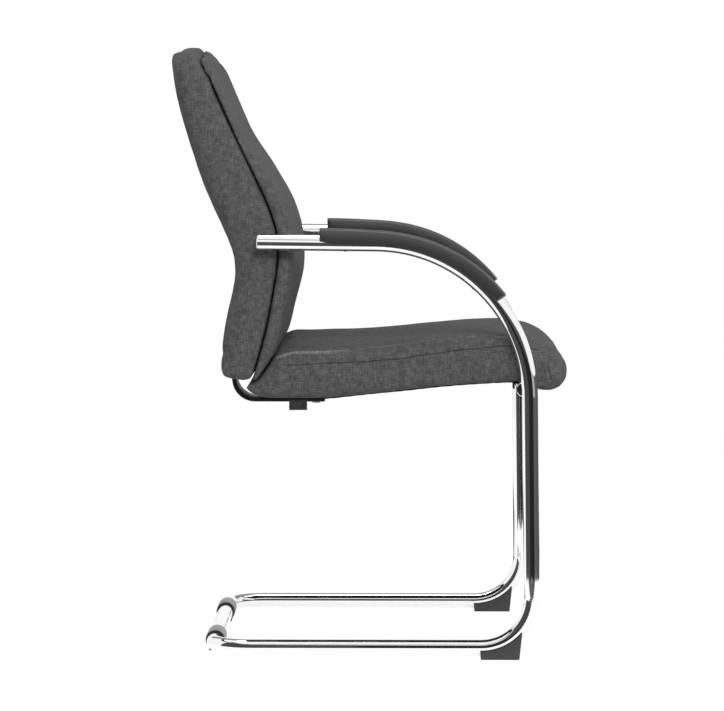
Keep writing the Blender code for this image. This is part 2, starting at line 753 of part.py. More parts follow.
def cut_seat_pocket(cushion):
    """Room for the board, open at the seat's underside."""
    half = SEAT_BOARD_WIDTH / 2 + CLEARANCE
    pocket = under_seat_sheet("seat_pocket", CLEARANCE, half, -0.004, BOARD_THICKNESS + CLEARANCE, None)
    cut(cushion, pocket)


def make_seat_cover(finish):
    """Black dust cover under the board."""
    half = SEAT_BOARD_WIDTH / 2 + COVER_MARGIN
    high = -CLEARANCE
    return under_seat_sheet(
        "seat_underside_cover", COVER_MARGIN, half, high - COVER_THICKNESS, high, finish
    )


# What carries the seat

def cross_tube_z():
    """The cross tube lies just under the seat, behind its rolled edge."""
    return underside_z(CROSS_TUBE_Y) - CLEARANCE - CROSS_TUBE_DIAMETER / 2


def make_cross_tube(finish):
    """Tube between the legs, its ends coped to fit round them."""
    radius = CROSS_TUBE_DIAMETER / 2
    inner = radius - TUBE_WALL
    reach = SIDE_X - TUBE_RADIUS * 0.4
    bm = bmesh.new()
    turn = Matrix.Rotation(math.pi / 2, 4, "Y")
    place = Matrix.Translation((-reach, CROSS_TUBE_Y, cross_tube_z())) @ turn
    faces = annulus(bm, radius, inner, TUBE_SIDES, place)
    draw_straight(bm, faces, Vector((2 * reach, 0, 0)))
    tube = add_object("seat_cross_tube", bm, finish)
    centre = half_frame_bends()[0][0]
    turn = math.asin(2 * (cross_tube_z() - centre.z + CROSS_TUBE_DIAMETER) / ARM_BEND_RADIUS)
    for side, x in (("right", -SIDE_X), ("left", SIDE_X)):
        cut(tube, bent_cutter(f"cope_{side}", x, centre, ARM_BEND_RADIUS, -turn, turn, 14))
    return tube


def make_seat_bracket(name, x, finish):
    """Angle that is welded behind the cross tube and screwed up into the seat."""
    flat_y = CROSS_TUBE_Y + CROSS_TUBE_DIAMETER / 2 + CLEARANCE
    top = -CLEARANCE - COVER_THICKNESS - CLEARANCE
    places = along(flat_y, flat_y + BRACKET_LENGTH, 5)
    low = cross_tube_z() - BRACKET_LIP
    outline = [(flat_y, low), (flat_y + BRACKET_PLATE, low)]
    outline += [(flat_y + BRACKET_PLATE, underside_z(flat_y) + top - BRACKET_PLATE - 0.001)]
    outline += [(y, underside_z(y) + top - BRACKET_PLATE) for y in places[1:]]
    outline += [(y, underside_z(y) + top) for y in reversed(places)]
    half = BRACKET_WIDTH / 2
    return across(name, outline, x - half, x + half, finish)


def under_seat_normal(y):
    """Direction square to the seat's underside, pointing up."""
    reach = 0.01
    slope = (underside_z(y + reach) - underside_z(y - reach)) / (2 * reach)
    return Vector((0, -slope, 1)).normalized()


def make_bracket_screws(side, x, bracket, board, cover, finish):
    """Two screws through the bracket and the cover into the seat board."""
    flat_y = CROSS_TUBE_Y + CROSS_TUBE_DIAMETER / 2
    below = COVER_THICKNESS + BRACKET_PLATE + 3 * CLEARANCE
    hole = SCREW_SHANK / 2 + CLEARANCE
    for end, inset in BRACKET_SCREWS:
        y = flat_y + inset
        up = under_seat_normal(y)
        seat = Vector((x, y, underside_z(y))) - up * below
        length = below + BOARD_THICKNESS * 0.75
        domed_screw(f"seat_bracket_screw_{side}_{end}", seat, up, length, finish)
        start = seat - up * 0.003
        for target, depth in ((bracket, 0.02), (cover, 0.02), (board, 0.003 + length + CLEARANCE)):
            drill(target, f"{target.name}_{side}_{end}_hole", start, up, hole, depth)


# Bar between the seat and the back

def bar_path():
    """Centre line of the bar as (y, z) points: under the seat, round the bend, up into the back."""
    half = BAR_THICKNESS / 2
    low_z = underside_z(BAR_FRONT_Y + BAR_GRIP / 2) - COVER_THICKNESS - 2 * CLEARANCE - half
    rear = BOARD_THICKNESS / 2 + CLEARANCE + half
    foot = Vector((0, board_y(BACK_BOARD_BOTTOM) + rear, BACK_BOARD_BOTTOM))
    head = Vector((0, board_y(BAR_TOP) + rear, BAR_TOP))
    lean = (head.y - foot.y) / (head.z - foot.z)
    corner = Vector((0, foot.y + (low_z - foot.z) * lean, low_z))
    front = Vector((0, BAR_FRONT_Y, low_z))
    centre, start, end, angle, axis = bend_data(corner, front, head, BAR_BEND_RADIUS)
    bend = []
    steps = 9
    for step in range(steps + 1):
        turn = Matrix.Rotation(angle * step / steps, 3, axis)
        bend.append(centre + turn @ (start - centre))
    return [front] + bend + [head]


def bar_outline(front_side, rear_side, first, past=0.0):
    """Outline of the bar's section along its path, with its two faces offset from the centre line."""
    path = bar_path()[first:]
    if past:
        heading = (path[-1] - path[-2]).normalized()
        path[-1] = path[-1] + heading * past
    inner, outer = [], []
    for index, point in enumerate(path):
        before, after = path[max(index - 1, 0)], path[min(index + 1, len(path) - 1)]
        heading = (after - before).normalized()
        inward = Vector((0, -heading.z, heading.y))
        spread = 1.0
        if 0 < index < len(path) - 1:
            spread = 1 / math.cos((point - before).angle(after - point) / 2)
        inner.append(point + inward * front_side * spread)
        outer.append(point - inward * rear_side * spread)
    return [(p.y, p.z) for p in inner] + [(p.y, p.z) for p in reversed(outer)]


def make_bar(finish):
    half = BAR_THICKNESS / 2
    outline = bar_outline(half, half, 0)
    bar = across("seat_to_back_bar", outline, -BAR_WIDTH / 2, BAR_WIDTH / 2, finish)
    return bar


def cut_bar_channel(shell):
    """Channel up into the shell for the bar and the heads of its screws."""
    half = BAR_THICKNESS / 2
    room = SCREW_HEAD_HEIGHT + 2 * CLEARANCE
    outline = bar_outline(half + CLEARANCE + 0.003, half + room, 8, past=CLEARANCE)
    reach = BAR_WIDTH / 2 + CLEARANCE
    cut(shell, across("bar_channel", outline, -reach, reach, None))


def make_bar_screws(bar, board, finish):
    """Two screws through the bar into the back board."""
    foot, head = bar_path()[-2:]
    up = (head - foot).normalized()
    forward = Vector((0, -up.z, up.y))
    hole = SCREW_SHANK / 2 + CLEARANCE
    heights = (("lower", BACK_BOARD_BOTTOM + BAR_LOWER_SCREW), ("upper", BAR_TOP - BAR_UPPER_SCREW))
    for end, height in heights:
        point = foot + up * ((height - foot.z) / up.z)
        seat = point - forward * (BAR_THICKNESS / 2 + CLEARANCE)
        length = BAR_THICKNESS + BOARD_THICKNESS * 0.75
        domed_screw(f"bar_screw_{end}", seat, forward, length, finish)
        start = seat - forward * 0.003
        drill(bar, f"bar_{end}_hole", start, forward, hole, 0.003 + BAR_THICKNESS + 0.004)
        drill(board, f"board_{end}_hole", start, forward, hole, 0.003 + length + CLEARANCE)


def make_seat_bolts(bar, board, cover, steel):
    """Two bolts through the bar into T-nuts in the seat board."""
    path = bar_path()
    low = path[0].z - BAR_THICKNESS / 2
    for end, inset in SEAT_BOLTS:
        y = BAR_FRONT_Y + inset
        seat = Vector((0, y, low - CLEARANCE))
        top = underside_z(y) + BOARD_THICKNESS
        nut_base = top - T_NUT_FLANGE_THICKNESS - CLEARANCE
        head, shank = BOLT_HEAD / 2, BOLT_SHANK / 2
        length = nut_base - seat.z - 0.001
        profile = (
            (0, -BOLT_HEAD_HEIGHT), (head * 0.85, -BOLT_HEAD_HEIGHT), (head, -BOLT_HEAD_HEIGHT * 0.8),
            (head, 0), (shank, 0), (shank, length - 0.001), (shank - 0.001, length), (0, length),
        )
        turned(f"seat_bolt_{end}", profile, seat, (0, 0, 1), steel, 12)
        barrel, bore, flange = T_NUT_BARREL / 2, shank + CLEARANCE, T_NUT_FLANGE / 2
        base = Vector((0, y, nut_base))
        nut_profile = (
            (0, -T_NUT_DEPTH), (barrel, -T_NUT_DEPTH), (barrel, 0), (flange, 0),
            (flange, T_NUT_FLANGE_THICKNESS), (0, T_NUT_FLANGE_THICKNESS),
        )
        nut = turned(f"t_nut_{end}", nut_profile, base, (0, 0, 1), steel, 16)
        drill(nut, f"t_nut_{end}_bore", base - Vector((0, 0, T_NUT_DEPTH + 0.002)), (0, 0, 1), bore,
              T_NUT_DEPTH + T_NUT_FLANGE_THICKNESS + 0.004)
        start = seat - Vector((0, 0, 0.002))
        for target in (bar, cover):
            drill(target, f"{target.name}_{end}_bolt_hole", start, (0, 0, 1), bore, 0.013)
        below, above, step = -0.020, 0.010, -CLEARANCE
        hole_profile = (
            (0, below), (barrel + CLEARANCE, below), (barrel + CLEARANCE, step), (flange + CLEARANCE, step),
            (flange + CLEARANCE, above), (0, above),
        )
        cut(board, turned(f"board_{end}_nut_hole", hole_profile, base, (0, 0, 1), None, 16))


# Arm tabs

def make_arm_tab(side, sign, board, block, shell, steel, black):
    """Tab welded to the arm's end and screwed to the back board, inside the back."""
    outer = SIDE_X - TUBE_RADIUS - CLEARANCE
    height = arm_z(board_y(ARM_HEIGHT))
    low_z, high_z = height - TAB_HEIGHT / 2, height + TAB_HEIGHT / 2
    nearest = min(board_y(z) for z in along(low_z - TAB_HEIGHT, high_z + TAB_HEIGHT, 7))
    face = nearest - BOARD_THICKNESS / 2 - CLEARANCE

    def box(front, rear, low, high):
        return [(front, low), (rear, low), (rear, high), (front, high)]

    x_out, x_in = sign * outer, sign * (outer - TAB_REACH)
    tab = across(f"arm_tab_{side}", box(face - TAB_THICKNESS, face, low_z, high_z), x_in, x_out, black)
    hole = SCREW_SHANK / 2 + CLEARANCE
    for end, inset in TAB_SCREWS:
        x = sign * (BACK_BOARD_WIDTH / 2 - inset)
        seat = Vector((x, face - TAB_THICKNESS - CLEARANCE, height))
        length = TAB_THICKNESS + BOARD_THICKNESS * 0.75
        name = f"arm_tab_screw_{side}_{end}"
        domed_screw(name, seat, (0, 1, 0), length, steel)
        start = seat - Vector((0, 0.002, 0))
        drill(tab, f"{name}_tab_hole", start, (0, 1, 0), hole, 0.002 + TAB_THICKNESS + 0.003)
        drill(board, f"{name}_board_hole", start, (0, 1, 0), hole, 0.002 + length + CLEARANCE)
    room = 2 * CLEARANCE
    front = face - TAB_THICKNESS - SCREW_HEAD_HEIGHT - 2 * room
    relief = box(front, face + 0.010, low_z - room, high_z + room)
    cut(block, across(f"tab_relief_{side}", relief, sign * (outer + 0.02), x_in - sign * room, None))
    slot = box(face - TAB_THICKNESS - room, face + room, low_z - room, high_z + room)
    cut(shell, across(f"tab_slot_{side}", slot, sign * (outer + 0.02), x_in - sign * room, None))


def make_tag(finish):
    """Small blank fabric tag sewn into the seat's lower edge."""
    half_x, half_y = TAG_THICKNESS / 2, TAG_LENGTH / 2
    top = underside_z(TAG_Y) - 2 * CLEARANCE - COVER_THICKNESS
    outline = [
        (TAG_Y - half_y, top - TAG_DROP), (TAG_Y + half_y, top - TAG_DROP),
        (TAG_Y + half_y, top), (TAG_Y - half_y, top),
    ]
    return across("fabric_tag", outline, TAG_X - half_x, TAG_X + half_x, finish)


def clear_scene():
    for old in list(bpy.data.objects):
        bpy.data.objects.remove(old, do_unlink=True)


def centre_on_floor():
    """Hang the chair on an empty whose place puts the middle of its box at the origin."""
    bpy.context.view_layer.update()
    pieces = [item for item in bpy.data.objects if item.type == "MESH"]
    shown = [item for item in pieces if not item.hide_render]
    graph = bpy.context.evaluated_depsgraph_get()
    corners = [
        item.matrix_world @ vert.co for item in shown for vert in item.evaluated_get(graph).data.vertices
    ]
    middle = [(min(c[axis] for c in corners) + max(c[axis] for c in corners)) / 2 for axis in (0, 1)]
    holder = bpy.data.objects.new("chair_origin", None)
    bpy.context.scene.collection.objects.link(holder)
    for item in pieces:
        item.parent = holder
    holder.location = (-middle[0], -middle[1], -min(c.z for c in corners))
    bpy.context.view_layer.update()
    print("origin moved by", tuple(round(value, 6) for value in holder.location))


def build():
    clear_scene()
    chrome = material("chrome", (0.78, 0.78, 0.80), 0.08, 1.0)
    steel = material("zinc steel", (0.55, 0.55, 0.56), 0.35, 1.0)
    black_steel = material("black painted steel", (0.02, 0.02, 0.022), 0.35)
    pad_plastic = material("black moulded pad", (0.035, 0.035, 0.037), 0.42)
    foot_plastic = material("black plastic", (0.02, 0.02, 0.02), 0.5)
    glide_plastic = material("grey plastic", (0.23, 0.23, 0.24), 0.45)
    fabric = material("dark grey fabric", (0.085, 0.085, 0.088), 0.95)
    plywood = material("plywood", (0.60, 0.44, 0.27), 0.6)
    lining = material("black lining", (0.015, 0.015, 0.015), 0.9)
    tag_cloth = material("tag cloth", (0.03, 0.03, 0.03), 0.85)

    frame = make_frame_tube(chrome)
    for side, sign in (("right", -1), ("left", 1)):
        x = sign * SIDE_X
        make_end_cap(f"arm_end_cap_{side}", x, chrome)
        pad = make_arm_pad(f"arm_pad_{side}", x, pad_plastic)
        make_pad_screws(side, x, frame, pad, steel)
        make_front_foot(f"front_foot_{side}", x, foot_plastic)
        near, far = SIDE_X - GLIDE_INSET, SIDE_X - GLIDE_INSET - GLIDE_LENGTH
        make_rear_glide(f"rear_glide_{side}", sign * far, sign * near, glide_plastic)

    cushion = make_seat_cushion(fabric)
    cut_seat_pocket(cushion)
    seat_board = make_seat_board(plywood)
    cover = make_seat_cover(lining)
    make_cross_tube(chrome)
    for side, sign in (("right", -1), ("left", 1)):
        x = sign * BRACKET_SPACING / 2
        bracket = make_seat_bracket(f"seat_bracket_{side}", x, black_steel)
        make_bracket_screws(side, x, bracket, seat_board, cover, steel)

    shell = make_back_shell(fabric)
    cut_shell_pocket(shell)
    back_cushion = make_back_cushion(fabric)
    back_board = make_back_board(plywood)
    bar = make_bar(black_steel)
    cut_bar_channel(shell)
    make_bar_screws(bar, back_board, steel)
    make_seat_bolts(bar, seat_board, cover, steel)
    for side, sign in (("right", -1), ("left", 1)):
        make_arm_tab(side, sign, back_board, back_cushion, shell, steel, black_steel)
    make_tag(tag_cloth)
    centre_on_floor()


build()
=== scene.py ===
import json
import math

import bmesh
import bpy
from bmesh.types import BMEdge, BMFace, BMVert
from mathutils import Matrix, Vector, noise


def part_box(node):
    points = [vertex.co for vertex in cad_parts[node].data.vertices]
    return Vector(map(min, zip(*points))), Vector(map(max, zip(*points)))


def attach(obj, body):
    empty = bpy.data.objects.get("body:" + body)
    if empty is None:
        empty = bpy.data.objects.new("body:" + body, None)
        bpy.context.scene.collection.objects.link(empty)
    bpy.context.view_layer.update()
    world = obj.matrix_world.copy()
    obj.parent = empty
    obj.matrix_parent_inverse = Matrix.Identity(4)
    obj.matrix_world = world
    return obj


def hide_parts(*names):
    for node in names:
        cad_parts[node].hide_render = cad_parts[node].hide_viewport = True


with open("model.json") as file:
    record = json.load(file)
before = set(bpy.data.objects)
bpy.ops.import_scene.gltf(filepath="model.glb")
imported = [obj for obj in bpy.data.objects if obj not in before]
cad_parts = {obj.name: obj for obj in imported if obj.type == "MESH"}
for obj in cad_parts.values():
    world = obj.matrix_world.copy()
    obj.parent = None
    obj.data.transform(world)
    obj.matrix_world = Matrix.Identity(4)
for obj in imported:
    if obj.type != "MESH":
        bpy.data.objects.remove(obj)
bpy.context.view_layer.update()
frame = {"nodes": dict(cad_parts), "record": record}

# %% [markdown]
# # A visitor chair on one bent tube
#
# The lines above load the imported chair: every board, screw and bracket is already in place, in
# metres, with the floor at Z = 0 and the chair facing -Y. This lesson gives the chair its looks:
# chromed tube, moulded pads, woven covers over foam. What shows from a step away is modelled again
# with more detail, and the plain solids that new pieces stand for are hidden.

nodes = frame["nodes"]
sides = (("right", -1), ("left", 1))

# %% [markdown]
# ## Sizes that several pieces share
#
# A maker sets out the side view first: the tube's centre line, then the cushions hung on it. The sizes
# are counted from the front legs towards the rear, and `setback` moves them to the loaded frame.

# %% Shared sizes
tube_radius = 0.0125
frame_depth = 0.4948
arm_height = 0.6484
arm_end = 0.4205
skid_height = 0.0046 + tube_radius
arm_rise = math.radians(0.6)
leg_lean = math.radians(0.66)
leg_reference = 0.290
side_x = 0.2675
bend_radii = (0.241, 0.079, 0.060)
hair = 0.0003
round_steps = 48
setback = Vector((0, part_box("frame_tube")[1].y - frame_depth - tube_radius, 0))
print("set back by", round(setback.y, 5))

# %% [markdown]
# ## Camera
#
# The photograph is a side view from almost six metres away, taken with a long lens, so near and far
# legs nearly cover each other. The camera looks along +X, a few degrees down.

# %% Camera
eye = Vector((-5.6818, -0.0590, 0.8424))
pitch, yaw = math.radians(3.9036), math.radians(0.7477)


def placed(name, data):
    """Puts a mesh, a lamp or a camera into the scene."""
    made = bpy.data.objects.new(name, data)
    bpy.context.scene.collection.objects.link(made)
    return made


forward = Vector((math.cos(pitch) * math.cos(yaw), math.cos(pitch) * math.sin(yaw), -math.sin(pitch)))
right = Vector((math.sin(yaw), -math.cos(yaw), 0))
up = right.cross(forward)
camera = placed("camera", bpy.data.cameras.new("camera"))
camera.data.lens = 174.25
camera.data.clip_end = 100
camera.matrix_world = Matrix.Translation(eye) @ Matrix((right, up, -forward)).transposed().to_4x4()
bpy.context.scene.camera = camera
bpy.context.scene.view_settings.view_transform = "Standard"
print("camera at", [round(v, 3) for v in camera.location])

# %% [markdown]
# ## Shading nodes
#
# A finish is a small network of shading nodes. Three helpers build every network here: one gives a
# socket a number or joins it to another node, one adds a node with all that goes into it, and one
# adds a sum.

# %% Node helpers


def feed(tree, socket, source):
    """Gives a socket a value, or joins it to an output; of a whole node, to its first output."""
    if isinstance(source, bpy.types.Node):
        source = source.outputs[0]
    if isinstance(source, bpy.types.NodeSocket):
        tree.links.new(source, socket)
    else:
        socket.default_value = source


def add_node(tree, kind, *sources, **values):
    """Adds a node; values go to its settings or sockets by name, sources to its sockets in order."""
    node = tree.nodes.new(kind)
    for name, value in values.items():
        if name in node.inputs:
            feed(tree, node.inputs[name], value)
        else:
            setattr(node, name, value)
    for socket, source in zip(node.inputs, sources):
        feed(tree, socket, source)
    return node


def sum_of(tree, operation, *terms):
    return add_node(tree, "ShaderNodeMath", *terms, operation=operation)


print("node helpers ready")

# %% [markdown]
# ## Studio
#
# Chrome has no colour of its own: it shows the room. So the room matters as much as the tube. What
# looks at the background sees plain white, while the light that falls on the chair from all round is
# much weaker, so that the cushions keep their shade.

# %% Studio world
world = bpy.data.worlds.new("studio")
bpy.context.scene.world = world
world.use_nodes = True
world.node_tree.nodes.clear()
white = (1, 1, 1, 1)
ambient_strength = 0.34


def seen_share(tree):
    """1 for rays that look at the background: straight, in a mirror or through glass."""
    rays = add_node(tree, "ShaderNodeLightPath").outputs
    direct = sum_of(tree, "MAXIMUM", rays["Is Camera Ray"], rays["Is Glossy Ray"])
    return sum_of(tree, "MAXIMUM", direct, rays["Is Transmission Ray"])


def light_world(tree):
    ambient = add_node(tree, "ShaderNodeBackground", white, ambient_strength)
    backdrop = add_node(tree, "ShaderNodeBackground", white, 1.0)
    choose = add_node(tree, "ShaderNodeMixShader", seen_share(tree), ambient, backdrop)
    add_node(tree, "ShaderNodeOutputWorld", choose)


light_world(world.node_tree)
print("world with", len(world.node_tree.nodes), "nodes")

# %% [markdown]
# ## Floor and cards
#
# The floor is a white sweep. Dark cards round the near front leg draw the dark lines along the tube,
# and one bright card overhead draws the light line along the arm pads. The cards show only in
# reflections, as a photographer would crop them out.

# %% Floor


def bare_material(name):
    made = bpy.data.materials.new(name)
    made.use_nodes = True
    made.node_tree.nodes.clear()
    return made, made.node_tree


def grey_diffuse(tree, grey):
    return add_node(tree, "ShaderNodeBsdfDiffuse", (grey, grey, grey, 1))


def glowing(tree, grey, strength):
    """A surface that is lit by the lamps and also glows by itself."""
    glow = add_node(tree, "ShaderNodeEmission", Strength=strength)
    return add_node(tree, "ShaderNodeAddShader", grey_diffuse(tree, grey), glow)


def floor_finish():
    """Nearly white to the eye, dimmer in a mirror, and plain for the light that it throws back."""
    made, tree = bare_material("white sweep")
    by_eye, by_mirror = glowing(tree, 0.16, 0.935), glowing(tree, 0.50, 0.68)
    mirror_ray = add_node(tree, "ShaderNodeLightPath").outputs["Is Glossy Ray"]
    seen = add_node(tree, "ShaderNodeMixShader", mirror_ray, by_eye, by_mirror)
    choose = add_node(tree, "ShaderNodeMixShader", seen_share(tree), grey_diffuse(tree, 0.80), seen)
    add_node(tree, "ShaderNodeOutputMaterial", choose)
    return made


def object_from(name, bm):
    mesh = bpy.data.meshes.new(name)
    bm.to_mesh(mesh)
    bm.free()
    return placed(name, mesh)


def stage_piece(name, bm, material):
    piece = object_from(name, bm)
    piece.data.materials.append(material)
    return piece


def make_floor():
    bm = bmesh.new()
    bmesh.ops.create_grid(bm, x_segments=1, y_segments=1, size=30)
    return stage_piece("floor", bm, floor_finish())


print("floor with", len(make_floor().data.polygons), "face")

# %% Cards
near_leg = Vector((-side_x, setback.y, 0))
ring_radius = 0.86
card_foot, card_middle, card_head, card_top = 0.012, 0.36, 0.50, 0.72
degrees_per_step = 5


def only(kind, geom):
    return [item for item in geom if isinstance(item, kind)]


def card(name, bm, grey):
    """Stages a strip of card of one even grey that only reflections see."""
    made, tree = bare_material(name)
    add_node(tree, "ShaderNodeOutputMaterial", add_node(tree, "ShaderNodeEmission", (grey, grey, grey, 1)))
    piece = stage_piece(name, bm, made)
    for way in ("camera", "diffuse", "transmission", "volume_scatter", "shadow"):
        setattr(piece, f"visible_{way}", False)


def ring_card(name, radius, low, high, grey, first, last, middle=near_leg):
    """Upright strip of card bent round a middle, from one azimuth to another."""
    bm = bmesh.new()
    first_way = Vector((math.cos(math.radians(first)), math.sin(math.radians(first)), 0))
    foot = middle + first_way * radius + Vector((0, 0, low))
    start = bm.verts.new(foot)
    end = bm.verts.new(foot + Vector((0, 0, high - low)))
    upright = [start, end, bm.edges.new((start, end))]
    turn = math.radians(last - first)
    steps = max(2, int(abs(last - first) / degrees_per_step))
    bmesh.ops.spin(bm, geom=upright, cent=middle, axis=(0, 0, 1), angle=turn, steps=steps)
    card(name, bm, grey)


def flat_card(name, corner_low, corner_high, grey):
    """Straight card between two corners, lying or upright."""
    low, high = Vector(corner_low), Vector(corner_high)
    bm = bmesh.new()
    start, end = bm.verts.new(low), bm.verts.new((low.x, high.y, low.z))
    strip = bmesh.ops.extrude_edge_only(bm, edges=[bm.edges.new((start, end))])["geom"]
    bmesh.ops.translate(bm, verts=only(BMVert, strip), vec=(high.x - low.x, 0, high.z - low.z))
    card(name, bm, grey)


for name, low, high, grey, first, last in (
    ("rear_side_card", card_foot, card_head, 0.07, 92, 160),
    ("camera_side_card", card_foot, card_head, 0.02, 160, 222),
    ("front_side_card", card_foot, card_middle, 0.11, 222, 254),
    ("upper_front_card", card_middle, card_head, 0.45, 222, 254),
    ("front_card", card_foot, card_head, 0.10, 254, 325),
    ("upper_side_card", card_head, card_top, 0.09, 92, 222),
):
    ring_card(name, ring_radius, low, high, grey, first, last)
ring_card("high_card", 2.5, 2.36, 2.84, 0.03, 0, 360, middle=Vector((0, 0, 0)))
flat_card("edge_shine_card", (-0.1, -1.2, 2.6), (0.6, 1.0, 2.6), 9.0)
flat_card("near_floor_card", (-1.13, -1.0, 0.010), (-0.86, 0.6, 0.010), 0.12)
flat_card("floor_card", (0.75, -1.0, 0.012), (2.0, 1.0, 0.012), 0.05)
flat_card("away_card", (1.7, -1.4, 0.75), (1.7, 1.4, 3.5), 0.30)

# %% [markdown]
# ## Lamps
#
# A large soft lamp stands at the camera's side, well above the chair, and lights the rounded edges of
# the cushions more than their tops. Two weaker lamps keep the front and the rear from going dark.

# %% Lamps
target = Vector((0, 0, 0.55))


def soft_lamp(name, place, size, power):
    data = bpy.data.lights.new(name, "AREA")
    data.shape = "SQUARE"
    data.size = size
    data.energy = power
    lamp = placed(name, data)
    lamp.location = place
    lamp.rotation_euler = (target - Vector(place)).to_track_quat("-Z", "Y").to_euler()
    lamp.visible_glossy = False


soft_lamp("key_lamp", (-3.1, -0.6, 2.35), 1.5, 84)
soft_lamp("front_lamp", (-0.8, -3.2, 1.6), 1.6, 26)
soft_lamp("rear_lamp", (1.4, 2.8, 2.2), 1.6, 30)
print("lamps set")

# %% [markdown]
# ## Chrome and steel
#
# The tube is bright chrome over steel. A mirror needs almost nothing: full metal, a high grey, and a
# roughness near zero. A faint waviness breaks the reflections a little, as polishing leaves it. Every
# pattern reads the point's own place on the piece, so that it stays put when the piece is moved.

# %% Metals


def principled(name, colour, roughness, metallic=0.0, **sockets):
    made = bpy.data.materials.new(name)
    made.use_nodes = True
    shader = made.node_tree.nodes["Principled BSDF"]
    shader.inputs["Base Color"].default_value = (*colour, 1)
    shader.inputs["Roughness"].default_value = roughness
    shader.inputs["Metallic"].default_value = metallic
    for socket, value in sockets.items():
        shader.inputs[socket.replace("_", " ")].default_value = value
    return made, made.node_tree, shader


def own_place(tree, scale=(1, 1, 1)):
    """The point on the piece in metres, stretched by scale."""
    where = add_node(tree, "ShaderNodeTexCoord").outputs["Object"]
    return add_node(tree, "ShaderNodeMapping", Vector=where, Scale=scale)


def grain(tree, scale, detail, place):
    return add_node(tree, "ShaderNodeTexNoise", Scale=scale, Detail=detail, Vector=place)


def ranged(tree, value, low, high, first=0.0, last=1.0):
    """Turns a value between first and last into one between low and high."""
    return add_node(tree, "ShaderNodeMapRange", value, first, last, low, high)


def bumped(tree, shader, height, strength, distance):
    bump = add_node(tree, "ShaderNodeBump", Strength=strength, Distance=distance, Height=height)
    feed(tree, shader.inputs["Normal"], bump)


def patchy(tree, shader, pattern, low, high):
    """Lets the roughness wander between low and high."""
    feed(tree, shader.inputs["Roughness"], ranged(tree, pattern, low, high))


def make_chrome(name, grey, low_roughness, high_roughness):
    made, tree, shader = principled(name, (grey, grey, grey * 1.01), low_roughness, 1.0)
    place = own_place(tree)
    patchy(tree, shader, grain(tree, 60, 3, place), low_roughness, high_roughness)
    bumped(tree, shader, grain(tree, 22, 2, place), 0.05, 0.0004)
    return made


def make_black_paint():
    made, tree, shader = principled("black painted steel", (0.018, 0.018, 0.020), 0.32)
    place = own_place(tree)
    patchy(tree, shader, grain(tree, 140, 4, place), 0.26, 0.42)
    bumped(tree, shader, grain(tree, 900, 2, place), 0.06, 0.0002)
    return made


finishes = {
    "chrome": make_chrome("bright chrome", 0.90, 0.03, 0.07),
    "zinc_steel": make_chrome("zinc plated steel", 0.55, 0.25, 0.42),
    "black_steel": make_black_paint(),
}
print("metals:", list(finishes))

# %% [markdown]
# ## Moulded plastics
#
# Arm pads have a fine grain pressed in by the mould, so their highlight is soft. The feet are plainer
# and duller. The rear glides are a mid grey, and their end faces get painted shade.

# %% Plastics


def tinted(tree, shader, colour, share):
    """Gives the shader a colour times a share that changes over the piece."""
    tint = add_node(tree, "ShaderNodeVectorMath", colour, operation="SCALE", Scale=share)
    feed(tree, shader.inputs["Base Color"], tint)


def moulded(name, grey, roughness, cell_scale, depth, end_shade=None, shine=0.5):
    """Grained plastic; end_shade paints shade on the faces that look along X, where a sleeve's ends are."""
    colour = (grey, grey, grey * 1.04)
    made, tree, shader = principled(name, colour, roughness, Specular_IOR_Level=shine)
    place = own_place(tree)
    if end_shade is not None:
        normal = add_node(tree, "ShaderNodeTexCoord").outputs["Normal"]
        facing = add_node(tree, "ShaderNodeSeparateXYZ", normal)
        size = sum_of(tree, "ABSOLUTE", facing.outputs["X"])
        tinted(tree, shader, colour, ranged(tree, size, 1.0, end_shade, 0.35, 0.8))
    cells = add_node(tree, "ShaderNodeTexVoronoi", Scale=cell_scale, Vector=place)
    bumped(tree, shader, cells.outputs["Distance"], 0.18, depth)
    patchy(tree, shader, grain(tree, 35, 4, place), roughness - 0.05, roughness + 0.08)
    return made


finishes["pad_plastic"] = moulded("black moulded pad", 0.028, 0.30, 1100, 0.0003, shine=1.0)
finishes["foot_plastic"] = moulded("black foot plastic", 0.050, 0.52, 700, 0.0003)
# The glides' last number, 0.12, is painted shade on their end faces.
finishes["glide_plastic"] = moulded("grey glide plastic", 0.30, 0.42, 800, 0.0002, 0.12)
print("plastics made")

# %% [markdown]
# ## Woven cover
#
# The cover is a plain weave of heathered dark grey yarn. Up close, each yarn goes over and under its
# neighbours, and no two yarns have quite the same grey. The pattern is worked out three times, for
# faces that look along X, Y and Z, and blended by where the surface faces, so it needs no unwrapping.

# %% Weave pattern
yarn_pitch = 0.0021
streak_pitches = 5


